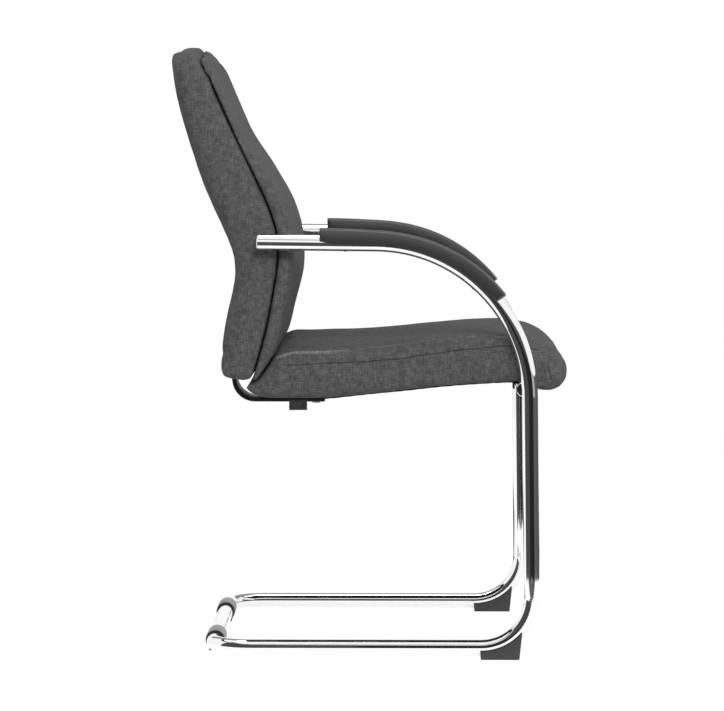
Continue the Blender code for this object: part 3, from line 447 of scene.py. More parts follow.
def weave_group():
    """Turns a flat place (across, along) into yarn height and yarn shade."""
    group = bpy.data.node_groups.new("plain weave", "ShaderNodeTree")
    group.interface.new_socket("Place", in_out="INPUT", socket_type="NodeSocketVector")
    for name in ("Height", "Shade"):
        group.interface.new_socket(name, in_out="OUTPUT", socket_type="NodeSocketFloat")
    place = add_node(group, "NodeGroupInput").outputs["Place"]
    split = add_node(group, "ShaderNodeSeparateXYZ", place).outputs

    def ridge(axis):
        turned = sum_of(group, "MULTIPLY", split[axis], math.pi / yarn_pitch)
        return sum_of(group, "ABSOLUTE", sum_of(group, "SINE", turned))

    def yarn_shade(across, along):
        over = sum_of(group, "MULTIPLY", split[across], 1 / yarn_pitch)
        down = sum_of(group, "MULTIPLY", split[along], 1 / (streak_pitches * yarn_pitch))
        return grain(group, 1.0, 2, add_node(group, "ShaderNodeCombineXYZ", over, down))

    flat = add_node(group, "ShaderNodeCombineXYZ", split["X"], split["Y"], 0.5 * yarn_pitch)
    checks = add_node(group, "ShaderNodeTexChecker", Scale=1 / yarn_pitch, Vector=flat).outputs["Fac"]
    pairs = {"Height": (ridge("X"), ridge("Y")), "Shade": (yarn_shade("X", "Y"), yarn_shade("Y", "X"))}
    results = {
        name: add_node(group, "ShaderNodeMix", data_type="FLOAT", Factor=checks, A=first, B=second)
        for name, (first, second) in pairs.items()
    }
    add_node(group, "NodeGroupOutput", **results)
    return group


weave = weave_group()
print("weave with", len(weave.nodes), "nodes")

# %% [markdown]
# ## Fabrics
#
# All three cloths use that weave, in their own greys, with a little painted shade in the low spots between
# yarns. On the cover, the cushions store how far each point is from a line of stitches, and the fabric is
# lower there and darkened with painted shade. A painted highlight makes it lighter along the seat's upper
# edge.

# %% Fabrics


def stored_distance(tree, kind):
    stored = add_node(tree, "ShaderNodeAttribute", attribute_name=kind)
    return sum_of(tree, "ABSOLUTE", stored.outputs["Fac"])


def seam_nearness(tree):
    """1 on a line of stitches and 0 from a millimetre off."""
    near, far = 0.0003, 0.0013
    shares = [ranged(tree, stored_distance(tree, kind), 1.0, 0.0, near, far) for kind in ("seam", "dart")]
    return sum_of(tree, "MAXIMUM", *shares)


def any_way_weave(tree, where):
    """Yarn height and shade, blended from three flat weaves by where the surface faces."""
    place = add_node(tree, "ShaderNodeSeparateXYZ", where["Object"]).outputs
    facing = add_node(tree, "ShaderNodeSeparateXYZ", where["Normal"]).outputs
    sharpness = 6
    kinds = ("Height", "Shade")
    totals = {}
    for axis, (across, along) in (("X", "YZ"), ("Y", "XZ"), ("Z", "XY")):
        weight = sum_of(tree, "POWER", sum_of(tree, "ABSOLUTE", facing[axis]), sharpness)
        flat = add_node(tree, "ShaderNodeCombineXYZ", place[across], place[along])
        cloth = add_node(tree, "ShaderNodeGroup", node_tree=weave)
        feed(tree, cloth.inputs["Place"], flat)
        shares = {kind: sum_of(tree, "MULTIPLY", cloth.outputs[kind], weight) for kind in kinds}
        for kind, share in {**shares, "Weight": weight}.items():
            totals[kind] = sum_of(tree, "ADD", totals[kind], share) if kind in totals else share
    return [sum_of(tree, "DIVIDE", totals[kind], totals["Weight"]) for kind in kinds]


def woven(name, colour, low_shade, high_shade, depth, sewn=False):
    """Fabric whose weave follows whichever axis the surface faces."""
    made, tree, shader = principled(
        name, colour, 0.90, Specular_IOR_Level=0.20, Sheen_Weight=0.03, Sheen_Roughness=0.5
    )
    where = add_node(tree, "ShaderNodeTexCoord").outputs
    height, yarn = any_way_weave(tree, where)
    blotch = ranged(tree, grain(tree, 90, 5, where["Object"]), 0.78, 1.22, 0.3, 0.7)
    shade = sum_of(tree, "MULTIPLY", ranged(tree, yarn, low_shade, high_shade, 0.3, 0.7), blotch)
    # Painted shade: the low spots of the weave are drawn darker.
    shade = sum_of(tree, "MULTIPLY", shade, ranged(tree, height, 0.80, 1.08))
    if sewn:
        seam_groove = seam_nearness(tree)
        # Painted highlight: the fabric is drawn up to 2.3 times lighter along the seat's ridge, fading
        # within 4 mm.
        ridge_highlight = ranged(tree, stored_distance(tree, "ridge_highlight"), 2.3, 1.0, 0.0006, 0.0040)
        # Painted shade in the seam's and dart's groove: the tone falls to 0.42 on the line of stitches.
        shade = sum_of(tree, "MULTIPLY", shade, ranged(tree, seam_groove, 1.0, 0.42))
        shade = sum_of(tree, "MULTIPLY", shade, ridge_highlight)
        height = sum_of(tree, "MULTIPLY_ADD", seam_groove, -2.0, height)
    tinted(tree, shader, colour, shade)
    bumped(tree, shader, height, 0.55, depth)
    return made


finishes["fabric"] = woven("dark grey weave", (0.088, 0.088, 0.090), 0.55, 1.45, 0.0004, sewn=True)
finishes["lining"] = woven("black lining", (0.016, 0.016, 0.017), 0.7, 1.3, 0.0002)
finishes["tag_cloth"] = woven("tag cloth", (0.030, 0.030, 0.031), 0.8, 1.2, 0.0001)
print("fabrics made")

# %% [markdown]
# ## Hidden wood and the plain nodes
#
# The boards are moulded plywood, with fibres that run across the chair. The back's board, the
# brackets, the tabs and most screws stay out of sight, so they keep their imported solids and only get
# a finish. A new piece stands for each of the others further down.

# %% Plywood


def make_plywood():
    made, tree, shader = principled("moulded plywood", (0.60, 0.44, 0.27), 0.6)
    fibres = grain(tree, 30, 5, own_place(tree, (1, 12, 12)))
    ramp = add_node(tree, "ShaderNodeValToRGB", fibres)
    ramp.color_ramp.elements[0].color = (0.42, 0.28, 0.15, 1)
    ramp.color_ramp.elements[1].color = (0.68, 0.52, 0.33, 1)
    feed(tree, shader.inputs["Base Color"], ramp)
    bumped(tree, shader, fibres, 0.2, 0.0003)
    return made


finishes["plywood"] = make_plywood()
for entry in frame["record"]["subparts"]:
    mesh = nodes[entry["node"]].data
    mesh.materials.clear()
    mesh.materials.append(finishes[entry["material_slot"]])
print("finished", len(nodes), "plain nodes")

# %% [markdown]
# ## Making a piece
#
# Every new piece ends the same way: loose doubles are merged, its faces are turned outwards, it gets
# its finish, rides on the frame and hides the plain node it stands for. A length of tube or bar is
# drawn as a bender feeds it: a section is extruded straight, or spun round the centre of a bend.

# %% Piece helpers
same_place = 1e-6
all_smooth = 180.0


def finish_piece(name, bm, slot, stands_for=(), sharp_angle=40.0):
    bmesh.ops.remove_doubles(bm, verts=bm.verts[:], dist=same_place)
    bmesh.ops.recalc_face_normals(bm, faces=bm.faces[:])
    bmesh.ops.translate(bm, verts=bm.verts[:], vec=setback)
    piece = object_from(name, bm)
    piece.data.materials.append(finishes[slot])
    piece.data.shade_smooth()
    piece.data.set_sharp_from_angle(angle=math.radians(sharp_angle))
    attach(piece, "root")
    if stands_for:
        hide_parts(*stands_for)
    return piece


def parts_of(faces):
    edges = {edge for face in faces for edge in face.edges}
    verts = {vert for face in faces for vert in face.verts}
    return list(faces) + list(edges) + list(verts)


def draw_straight(bm, faces, move):
    grown = bmesh.ops.extrude_face_region(bm, geom=parts_of(faces))["geom"]
    bmesh.ops.translate(bm, verts=only(BMVert, grown), vec=move)
    return only(BMFace, grown)


def draw_bend(bm, faces, centre, axis, angle, steps):
    spun = bmesh.ops.spin(
        bm, geom=parts_of(faces), cent=centre, axis=axis, angle=angle, steps=steps, use_duplicate=False
    )
    return only(BMFace, spun["geom_last"])


def disc(bm, radius, steps, place):
    made = bmesh.ops.create_circle(bm, cap_ends=True, segments=steps, radius=radius, matrix=place)
    return list({face for vert in made["verts"] for face in vert.link_faces})


print("piece helpers ready")

# %% [markdown]
# ## Bent frame
#
# One tube makes both arms, legs and skids and the rear cross piece, without a joint. Its centre line
# is worked out as straight lines that meet in corners, and each corner is rounded to the bender's
# radius. Half the route is enough, because the other half is its mirror image.

# %% Bends of the frame


def bend_of(corner, before, after, radius):
    """Centre, start, end, angle and axis of the bend that rounds a corner."""
    into = (corner - before).normalized()
    out = (after - corner).normalized()
    angle = into.angle(out)
    reach = radius * math.tan(angle / 2)
    centre = corner + (out - into).normalized() * (radius / math.cos(angle / 2))
    return centre, corner - into * reach, corner + out * reach, angle, into.cross(out).normalized()


def leg_y(z):
    return (z - leg_reference) * math.tan(leg_lean)


def arm_z(y):
    return arm_height + (y - arm_end) * math.tan(arm_rise)


def frame_corners():
    lean, rise = math.tan(leg_lean), math.tan(arm_rise)
    top = (arm_height - arm_end * rise - leg_reference * rise * lean) / (1 - rise * lean)
    return [
        Vector((-side_x, arm_end, arm_height)),
        Vector((-side_x, leg_y(top), top)),
        Vector((-side_x, leg_y(skid_height), skid_height)),
        Vector((-side_x, frame_depth, skid_height)),
        Vector((0, frame_depth, skid_height)),
    ]


corners = frame_corners()
bends = [bend_of(corners[i + 1], corners[i], corners[i + 2], radius) for i, radius in enumerate(bend_radii)]
print("bend angles:", [round(math.degrees(bend[3]), 1) for bend in bends])

# %% Frame tube


def make_frame():
    bm = bmesh.new()
    heading = (corners[1] - corners[0]).normalized()
    turn = Vector((0, 0, 1)).rotation_difference(heading).to_matrix().to_4x4()
    faces = disc(bm, tube_radius, round_steps, Matrix.Translation(corners[0]) @ turn)
    mirror = Matrix.Diagonal((-1, 1, 1))
    route = list(bends)
    for centre, start, end, angle, axis in reversed(bends):
        route.append((mirror @ centre, mirror @ end, mirror @ start, angle, mirror @ axis))
    here = corners[0]
    for centre, start, end, angle, axis in route:
        faces = draw_straight(bm, faces, start - here)
        faces = draw_bend(bm, faces, centre, axis, angle, 30)
        here = end
    draw_straight(bm, faces, mirror @ corners[0] - here)
    return finish_piece("bent_frame", bm, "chrome", ["frame_tube"], 60)


print("frame:", len(make_frame().data.polygons), "faces")

# %% [markdown]
# ## End caps
#
# A domed cap closes the rear end of each arm. It is a turned part, so its outline is spun once round
# the tube's axis.

# %% End caps


def turned(name, profile, origin, axis, slot, stands_for, steps=round_steps):
    """A body turned from (radius, height) points, its first and last on the axis."""
    turn = Vector((0, 0, 1)).rotation_difference(Vector(axis)).to_matrix().to_4x4()
    bm = bmesh.new()
    verts = [bm.verts.new((radius, 0, height)) for radius, height in profile]
    edges = [bm.edges.new(pair) for pair in zip(verts, verts[1:])]
    bmesh.ops.spin(
        bm, geom=verts + edges, cent=(0, 0, 0), axis=(0, 0, 1), angle=math.tau, steps=steps, use_merge=True
    )
    bmesh.ops.transform(bm, matrix=Matrix.Translation(origin) @ turn, verts=bm.verts[:])
    return finish_piece(name, bm, slot, stands_for)


rim, rim_edge, dome_rise = tube_radius - 0.0004, 0.0022, 0.0036
plug_radius, plug_depth = 0.0100, 0.0130
dome_turns = [math.radians(angle) for angle in range(0, 90, 10)]
dome = [(rim * math.cos(turn), rim_edge + dome_rise * math.sin(turn)) for turn in dome_turns]
plug = [(0, -plug_depth), (plug_radius, -plug_depth), (plug_radius, hair), (rim, hair)]
for side, sign in sides:
    origin = Vector((sign * side_x, arm_end, arm_height))
    axis = (0, math.cos(arm_rise), math.sin(arm_rise))
    cap_profile = plug + dome + [(0, rim_edge + dome_rise)]
    turned(f"arm_cap_{side}", cap_profile, origin, axis, "chrome", [f"arm_end_cap_{side}"])
print("two caps")

# %% [markdown]
# ## Carving and softening
#
# Moulded pieces get their hollows from cutters: a body of the tube's own shape, a hair larger, is taken
# away from them. No moulded edge is sharp, so every edge that turns far enough is rounded.

# %% Carving helpers


def eased(value):
    """0 to 1 with a soft start and end."""
    value = min(max(value, 0.0), 1.0)
    return value * value * (3 - 2 * value)


def settle(piece, sharp_angle=40.0):
    """Makes the work of a piece's modifiers final."""
    graph = bpy.context.evaluated_depsgraph_get()
    shaped = bpy.data.meshes.new_from_object(
        piece.evaluated_get(graph), preserve_all_data_layers=True, depsgraph=graph
    )
    piece.modifiers.clear()
    piece.data = shaped
    shaped.shade_smooth()
    shaped.set_sharp_from_angle(angle=math.radians(sharp_angle))


def carve(piece, bm):
    """Takes the body in bm away from the piece."""
    bmesh.ops.recalc_face_normals(bm, faces=bm.faces[:])
    bmesh.ops.translate(bm, verts=bm.verts[:], vec=setback)
    cutter = object_from("cutter", bm)
    step = piece.modifiers.new("carve", "BOOLEAN")
    step.operation = "DIFFERENCE"
    step.solver = "EXACT"
    step.object = cutter
    settle(piece)
    bpy.data.objects.remove(cutter, do_unlink=True)


def across(points, low_x, high_x):
    """A side outline of (y, z) points given its width, as an open bmesh to work on."""
    bm = bmesh.new()
    face = bm.faces.new([bm.verts.new((low_x, y, z)) for y, z in points])
    draw_straight(bm, [face], Vector((high_x - low_x, 0, 0)))
    return bm


def round_off(bm, edges, width, segments):
    bmesh.ops.bevel(
        bm, geom=edges, offset=width, offset_type="OFFSET", affect="EDGES", segments=segments,
        profile=0.5, material=-1, clamp_overlap=True,
    )


def soften(bm, width, segments, least_angle=25.0):
    """Rounds every edge that turns by more than the least angle."""
    bmesh.ops.recalc_face_normals(bm, faces=bm.faces[:])
    least = math.radians(least_angle)
    turning = [edge for edge in bm.edges if len(edge.link_faces) == 2 and edge.calc_face_angle() > least]
    round_off(bm, turning, width, segments)


print("carving helpers ready")

# %% [markdown]
# ## Arm pads
#
# Each pad is moulded in the shape of the arm and sits astride it. Its section is drawn once, carried
# along the straight part and swung round the arm's bend. The shoulder stays crisp, because it draws
# the light line along the pad; the corners of both ends are rounder. A cutter of the tube's shape, a
# hair larger, leaves the groove that the pad sits on.

# %% Section of a pad
pad_half_width = 0.024
pad_rear_y = 0.3275
pad_front_angle = math.radians(50.8)
pad_length = pad_front_angle * bend_radii[0]
pad_low = -0.0020
pad_shoulder = tube_radius + 0.0046
pad_crown = tube_radius + 0.0070
arm_bend, arm_tangent = bends[0][0], bends[0][1]
arm_out = Vector((0, -math.sin(arm_rise), math.cos(arm_rise)))


def pad_section():
    """Outline of a pad across the tube, as (across, height over the centre line) points."""
    rise = pad_crown - pad_shoulder
    flank = [(pad_half_width, pad_low)]
    for part_out, part_up in ((1, 0), (0.80, 0.45), (0.55, 0.75), (0.28, 0.94)):
        flank.append((pad_half_width * part_out, pad_shoulder + part_up * rise))
    return flank + [(0, pad_crown)] + [(-out, height) for out, height in reversed(flank)]


print("pad section with", len(pad_section()), "points")

# %% Arm pads
rear_lift, rear_lift_start, rear_lift_run = 0.0034, 0.078, 0.125
end_cut, end_cut_length = 0.0085, 0.021
pad_end_rounding, pad_edge_rounding = 0.0070, 0.0011
groove_overrun, groove_overturn = 0.01, 0.05


def arm_station(place):
    """Height over the tube's centre line, outward direction, and distance along it from its tangent."""
    if place.y > arm_tangent.y:
        height = (place.z - arm_z(place.y)) * math.cos(arm_rise)
        return height, arm_out, -(place.y - arm_tangent.y)
    spoke = Vector((0, place.y - arm_bend.y, place.z - arm_bend.z))
    return spoke.length - bend_radii[0], spoke.normalized(), spoke.angle(arm_out) * bend_radii[0]


def shape_pad(bm):
    """Lifts the shoulder towards the rear and cuts the lower corners of both ends back."""
    for vert in bm.verts:
        height, out, along_arm = arm_station(vert.co)
        upper = max(0.0, height - pad_low) / (pad_shoulder - pad_low)
        rear_share = eased(1 - (along_arm + rear_lift_start) / rear_lift_run)
        rear_rise = rear_lift * rear_share * min(upper, 1.0)
        from_end = min(along_arm + pad_rear_y - arm_tangent.y, pad_length - along_arm)
        cut_back = end_cut * max(0.0, 1 - max(from_end, 0.0) / end_cut_length) ** 1.6 * max(0.0, 1 - upper)
        vert.co += out * (rear_rise + cut_back)


def make_pad(side, x):
    rear = Vector((0, pad_rear_y, arm_z(pad_rear_y)))
    tangent = Vector((0, arm_tangent.y, arm_tangent.z))
    bm = bmesh.new()
    section = [rear + Vector((x + out, 0, 0)) + arm_out * height for out, height in pad_section()]
    faces = [bm.faces.new([bm.verts.new(place) for place in section])]
    steps = 8
    for _ in range(steps):
        faces = draw_straight(bm, faces, (tangent - rear) / steps)
    draw_bend(bm, faces, (x, arm_bend.y, arm_bend.z), (1, 0, 0), pad_front_angle, 24)
    bmesh.ops.recalc_face_normals(bm, faces=bm.faces[:])
    shape_pad(bm)
    ends = [face for face in bm.faces if len(face.verts) > 4]
    end_edges = [edge for face in ends for edge in face.edges]
    uprights = [edge for edge in end_edges if abs(edge.verts[0].co.x - edge.verts[1].co.x) < same_place]
    round_off(bm, uprights, pad_end_rounding, 7)
    soften(bm, pad_edge_rounding, 3, 40)
    bmesh.ops.triangulate(bm, faces=[face for face in bm.faces if len(face.verts) > 4])
    pad = finish_piece(f"arm_rest_{side}", bm, "pad_plastic", [f"arm_pad_{side}"], 35)
    groove = bmesh.new()
    behind = rear - (tangent - rear).normalized() * groove_overrun
    heading = Vector((0, 0, 1)).rotation_difference(tangent - rear).to_matrix().to_4x4()
    start = Matrix.Translation(behind + Vector((x, 0, 0))) @ heading
    faces = disc(groove, tube_radius + hair, round_steps, start)
    faces = draw_straight(groove, faces, tangent - behind)
    turn = pad_front_angle + groove_overturn
    draw_bend(groove, faces, (x, arm_bend.y, arm_bend.z), (1, 0, 0), turn, 32)
    carve(pad, groove)
    return pad


for side, sign in sides:
    print("pad:", len(make_pad(side, sign * side_x).data.polygons), "faces")

# %% [markdown]
# ## Screws of the pads
#
# Two screws hold each pad from below, through the tube. Their heads are low and nearly flush, so that
# only a small nick shows under the arm.

# %% Pad screws
screw_profile = [
    (0, -0.0006), (0.0018, -0.00055), (0.0028, -0.0003), (0.0034, 0.0002), (0.0034, 0.0009),
    (0.0016, 0.0011), (0.0016, 0.0190), (0, 0.0205),
]
for side, sign in sides:
    for end in ("rear", "front"):
        packed = f"arm_pad_screw_{side}_{end}"
        low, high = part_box(packed)
        middle = (Vector(low) + Vector(high)) / 2 - setback
        height, out, _ = arm_station(middle)
        origin = middle - out * (height + tube_radius)
        turned(f"arm_screw_{side}_{end}", screw_profile, origin, out, "zinc_steel", [packed], 24)
print("four pad screws")

# %% [markdown]
# ## Front feet
#
# Under each front bend sits a black plastic block that cups the tube and stands flat on the floor. It
# is a flat outline given its width, with softened edges, and the tube's own shape is carved out of it.

# %% Front feet
foot_centre = bends[1][0]
foot_front, foot_length, foot_half_width = 0.0171, 0.060, 0.0155
foot_cheek = bend_radii[1] + tube_radius - 0.0082
tip_lean, heel_lean, foot_rounding = 0.0044, 0.001, 0.0012
groove_start, groove_turn = math.radians(-14), math.radians(118)


def make_front_foot(side, x):
    tip = math.acos((foot_centre.y - foot_front + tip_lean) / foot_cheek)
    heel = math.acos((foot_centre.y - foot_front - foot_length - heel_lean) / foot_cheek)
    points = [(foot_front, 0.0), (foot_front + foot_length, 0.0)]
    steps = 14
    for step in range(steps + 1):
        angle = heel + (tip - heel) * step / steps
        ahead, below = foot_cheek * math.cos(angle), foot_cheek * math.sin(angle)
        points.append((foot_centre.y - ahead, foot_centre.z - below))
    bm = across(points, x - foot_half_width, x + foot_half_width)
    soften(bm, foot_rounding, 3)
    foot = finish_piece(f"foot_block_{side}", bm, "foot_plastic", [f"front_foot_{side}"])
    groove = bmesh.new()
    centre = Vector((x, foot_centre.y, foot_centre.z))
    turn = Matrix.Rotation(groove_start, 3, "X")
    start = Matrix.Translation(centre + turn @ Vector((0, -bend_radii[1], 0))) @ turn.to_4x4()
    faces = disc(groove, tube_radius + hair, 40, start)
    draw_bend(groove, faces, centre, (1, 0, 0), groove_turn, 26)
    carve(foot, groove)
    return foot


for side, sign in sides:
    print("front foot:", len(make_front_foot(side, sign * side_x).data.polygons), "faces")

# %% [markdown]
# ## Rear glides
#
# Two grey sleeves are clipped round the rear cross piece and keep it off the floor. Their outline is
# most of a circle that runs out into a flat foot, and the bore is the tube's size and a hair more.

# %% Rear glides
sleeve_wall, sleeve_half_foot, sleeve_rounding = 0.0027, 0.010, 0.0010
sleeve_outer = tube_radius + hair + sleeve_wall
sleeve_ends = (side_x - 0.078, side_x - 0.138)
bore_overrun = 0.01
sideways = Matrix.Rotation(math.pi / 2, 4, "Y")


def make_glide(side, low_x, high_x):
    low = math.asin(sleeve_half_foot / sleeve_outer)
    points = [(frame_depth - sleeve_half_foot, 0.0), (frame_depth + sleeve_half_foot, 0.0)]
    steps = 44
    for step in range(steps + 1):
        angle = -math.pi / 2 + low + (math.tau - 2 * low) * step / steps
        behind, above = sleeve_outer * math.cos(angle), sleeve_outer * math.sin(angle)
        points.append((frame_depth + behind, skid_height + above))
    bm = across(points, low_x, high_x)
    soften(bm, sleeve_rounding, 3)
    glide = finish_piece(f"glide_sleeve_{side}", bm, "glide_plastic", [f"rear_glide_{side}"])
    bore = bmesh.new()
    place = Matrix.Translation((low_x - bore_overrun, frame_depth, skid_height)) @ sideways
    length = high_x - low_x + 2 * bore_overrun
    draw_straight(bore, disc(bore, tube_radius + hair, round_steps, place), Vector((length, 0, 0)))
    carve(glide, bore)
    return glide


for side, sign in sides:
    ends = sorted(sign * end for end in sleeve_ends)
    print("glide:", len(make_glide(side, *ends).data.polygons), "faces")

# %% [markdown]
# ## Upholstery profiles
#
# The side view gives the cushions' shape, so their outlines are drawn as smooth curves through a few
# measured points: the seam of the back, its front and rear, and the seat's underside and top edge.

# %% Profiles
seam_profile = (
    (0.436, 0.4335), (0.500, 0.4150), (0.578, 0.3995), (0.635, 0.3928), (0.684, 0.4015),
    (0.746, 0.4285), (0.820, 0.4645), (0.891, 0.4955), (0.926, 0.5100), (0.9435, 0.5270),
)
rear_profile = (
    (0.452, 0.4832), (0.521, 0.474), (0.577, 0.461), (0.610, 0.4577), (0.640, 0.465),
    (0.670, 0.478), (0.744, 0.510), (0.818, 0.534), (0.893, 0.5535), (0.930, 0.5590),
)
front_profile = (
    (0.430, 0.4275), (0.4475, 0.4150), (0.465, 0.4020), (0.485, 0.3970), (0.512, 0.3925), (0.538, 0.3870),
    (0.564, 0.3800), (0.590, 0.3735), (0.616, 0.3715), (0.640, 0.3725), (0.664, 0.3755), (0.694, 0.3840),
    (0.720, 0.3950), (0.746, 0.4110), (0.772, 0.4272), (0.798, 0.4450), (0.824, 0.4595), (0.8495, 0.4698),
    (0.875, 0.4800), (0.901, 0.4905), (0.920, 0.4980), (0.934, 0.5040),
)
underside_profile = (
    (-0.002, 0.4295), (0.020, 0.4297), (0.060, 0.4275), (0.125, 0.420), (0.212, 0.405),
    (0.300, 0.393), (0.330, 0.391), (0.400, 0.391), (0.424, 0.3925),
)
crest_profile = (
    (-0.010, 0.4940), (0.030, 0.5000), (0.066, 0.4995), (0.113, 0.4958), (0.161, 0.4903), (0.208, 0.4840),
    (0.268, 0.478), (0.324, 0.4765), (0.372, 0.4745),
)


def value_at(profile, place):
    """Height of a smooth curve through the profile's points."""
    last = len(profile) - 1
    index = 0
    while index < last - 1 and place > profile[index + 1][0]:
        index += 1
    (a, start), (b, end) = profile[index], profile[index + 1]
    before, after = profile[max(index - 1, 0)], profile[min(index + 2, last)]
    share = (place - a) / (b - a)
    rise_in = (end - before[1]) / (b - before[0]) * (b - a)
    rise_out = (after[1] - start) / (after[0] - a) * (b - a)
    square, cube = share ** 2, share ** 3
    return (
        (2 * cube - 3 * square + 1) * start + (cube - 2 * square + share) * rise_in
        + (3 * square - 2 * cube) * end + (cube - square) * rise_out
    )


def along(start, end, count):
    return [start + (end - start) * i / (count - 1) for i in range(count)]


def seam_y(z):
    return value_at(seam_profile, min(z, seam_profile[-1][0]))


print("seam at arm height:", round(seam_y(arm_height), 4))

# %% Underside of the seat
seat_half = 0.245
dish_rise = 0.0135


def underside(y):
    return value_at(underside_profile, min(max(y, 0.0), 0.42))


def side_lift(y, side):
    """How far the seat's underside rises towards its sides, as its dished board does."""
    return dish_rise * eased((y - 0.03) / 0.26) * max(0.0, 1 - side / 0.2)


def dished(x, y):
    return underside(y) + side_lift(y, seat_half - abs(x))


print("underside at the middle and the side:", round(dished(0, 0.3), 4), round(dished(seat_half, 0.3), 4))

# %% [markdown]
# ## Bar between seat and back
#
# A flat black bar, 80 mm wide and 6 mm thick, runs under the seat, turns up in one bend and goes into
# the back. Its section is drawn straight, swung round the bend and drawn straight again.

# %% Bar
bar_half_width, bar_thickness, bar_bend_radius = 0.040, 0.006, 0.034
bar_front_y, bar_low, bar_top = 0.325, 0.462, 0.575
lining_room = 0.0015
back_board_depth, back_board_half = 0.028, 0.006


def make_bar():
    low_z = underside(0.365) - lining_room - 2 * hair - bar_thickness / 2
    behind = back_board_depth + back_board_half + hair + bar_thickness / 2
    foot = Vector((0, seam_y(bar_low) + behind, bar_low))
    head = Vector((0, seam_y(bar_top) + behind, bar_top))
    lean = (head.y - foot.y) / (head.z - foot.z)
    corner = Vector((0, foot.y + (low_z - foot.z) * lean, low_z))
    front = Vector((0, bar_front_y, low_z))
    centre, start, end, angle, axis = bend_of(corner, front, head, bar_bend_radius)
    bm = bmesh.new()
    half, top = bar_half_width, bar_thickness / 2
    section = [(-half, -top), (half, -top), (half, top), (-half, top)]
    faces = [bm.faces.new([bm.verts.new(front + Vector((x, 0, z))) for x, z in section])]
    faces = draw_straight(bm, faces, start - front)
    faces = draw_bend(bm, faces, centre, axis, angle, 24)
    draw_straight(bm, faces, head - end)
    soften(bm, 0.0008, 3, 60)
    return finish_piece("seat_back_bar", bm, "black_steel", ["seat_to_back_bar"])


print("bar:", len(make_bar().data.polygons), "faces")

# %% [markdown]
# ## Cross tube
#
# A thinner chromed tube joins the legs under the seat's front edge. It is welded on, so each end gets
# a narrow bead where it meets the leg.

# %% Cross tube
rail_radius, rail_y, bead_radius = 0.010, 0.011, 0.0014
rail_z = underside(rail_y) - hair - rail_radius


def make_rail():
    reach = side_x - 0.6 * tube_radius
    bm = bmesh.new()
    place = Matrix.Translation((-reach, rail_y, rail_z)) @ sideways
    draw_straight(bm, disc(bm, rail_radius, round_steps, place), Vector((2 * reach, 0, 0)))
    return finish_piece("seat_rail", bm, "chrome", ["seat_cross_tube"], 60)


def make_bead(side, sign):
    bm = bmesh.new()
    middle = Vector((sign * (side_x - tube_radius - 0.0004), rail_y, rail_z))
    on_tube = Matrix.Translation(middle + Vector((0, 0, rail_radius + 0.0001)))
    section = disc(bm, bead_radius, 10, on_tube @ Matrix.Rotation(math.pi / 2, 4, "X"))
    bmesh.ops.delete(bm, geom=section, context="FACES_ONLY")
    ring = bm.verts[:] + bm.edges[:]
    bmesh.ops.spin(bm, geom=ring, cent=middle, axis=(1, 0, 0), angle=math.tau, steps=40, use_merge=True)
    finish_piece(f"weld_bead_{side}", bm, "chrome")


print("cross tube:", len(make_rail().data.polygons), "faces")
for side, sign in sides:
    make_bead(side, sign)

# %% [markdown]
# ## Foam shapes
#
# A cushion starts as its side outline, carried across the chair in a row of cuts. Towards each side
# every cut is drawn in along the outline's own normals, which rounds the edge as a sewn cover does,
# and the middle is crowned a little, where the foam is thickest.

# %% Foam shaping


def outline_normals(points):
    """Outward direction at each (y, z) point of an outline, by its place."""
    area = sum(a[0] * b[1] - b[0] * a[1] for a, b in zip(points, points[1:] + points[:1]))
    turn = 1 if area > 0 else -1
    normals = {}
    for index, point in enumerate(points):
        before, after = points[index - 1], points[(index + 1) % len(points)]
        outward = Vector((0, turn * (after[1] - before[1]), -turn * (after[0] - before[0])))
        normals[(round(point[0], 5), round(point[1], 5))] = outward.normalized()
    return normals


def draw_in(distance, run):
    """Share of a rounding that is reached at a distance from the side: 1 at the side itself."""
    share = min(max(1.0 - distance / run, 0.0), 1.0)
    return 1.0 - math.sqrt(1.0 - share * share)


def foam(points, half_width, run, edge, crown, corner):
    """The outline carried across in cuts, then drawn in, crowned and cornered."""
    from_side = (0.0, 0.0008, 0.003, 0.006, 0.010, 0.015, 0.021, 0.030, 0.045, 0.075, 0.115, 0.170)
    cuts = [-half_width + distance for distance in from_side]
    cuts += [0.0] + [-x for x in reversed(cuts)]
    bm = bmesh.new()
    faces = [bm.faces.new([bm.verts.new((cuts[0], y, z)) for y, z in points])]
    for low, high in zip(cuts, cuts[1:]):
        faces = draw_straight(bm, faces, Vector((high - low, 0, 0)))
    normals = outline_normals(points)
    for vert in bm.verts:
        x, y, z = vert.co
        side, middle = half_width - abs(x), 1.0 - (x / half_width) ** 2
        move = crown(y, z) * middle - edge(y, z) * draw_in(side, run)
        vert.co += normals[(round(y, 5), round(z, 5))] * move + corner(y, z, side)
    bmesh.ops.recalc_face_normals(bm, faces=bm.faces[:])
    return bm


square = [(0, 0), (1, 0), (1, 1), (0, 1)]
print("normal of a square's corner:", [round(v, 2) for v in outline_normals(square)[(0, 0)]])

# %% [markdown]
# ## Covers under strain
#
# Foam pushes a sewn cover out between its seams. That is what the cloth solver does here: the foam
# shape is meshed evenly and drawn in slightly, the cover gets a little more cloth than that, it is
# held along its seams and hidden faces, and air pressure stands in for the foam. No point may travel
# further than a few millimetres.

# %% Cover helpers
cover_frames = 12
cover_cloth = {
    "quality": 4, "mass": 0.25, "tension_stiffness": 18, "compression_stiffness": 12, "shear_stiffness": 6,
    "bending_stiffness": 0.4, "use_pressure": True, "uniform_pressure_force": 3.5, "shrink_min": -0.012,
    "vertex_group_mass": "held",
}


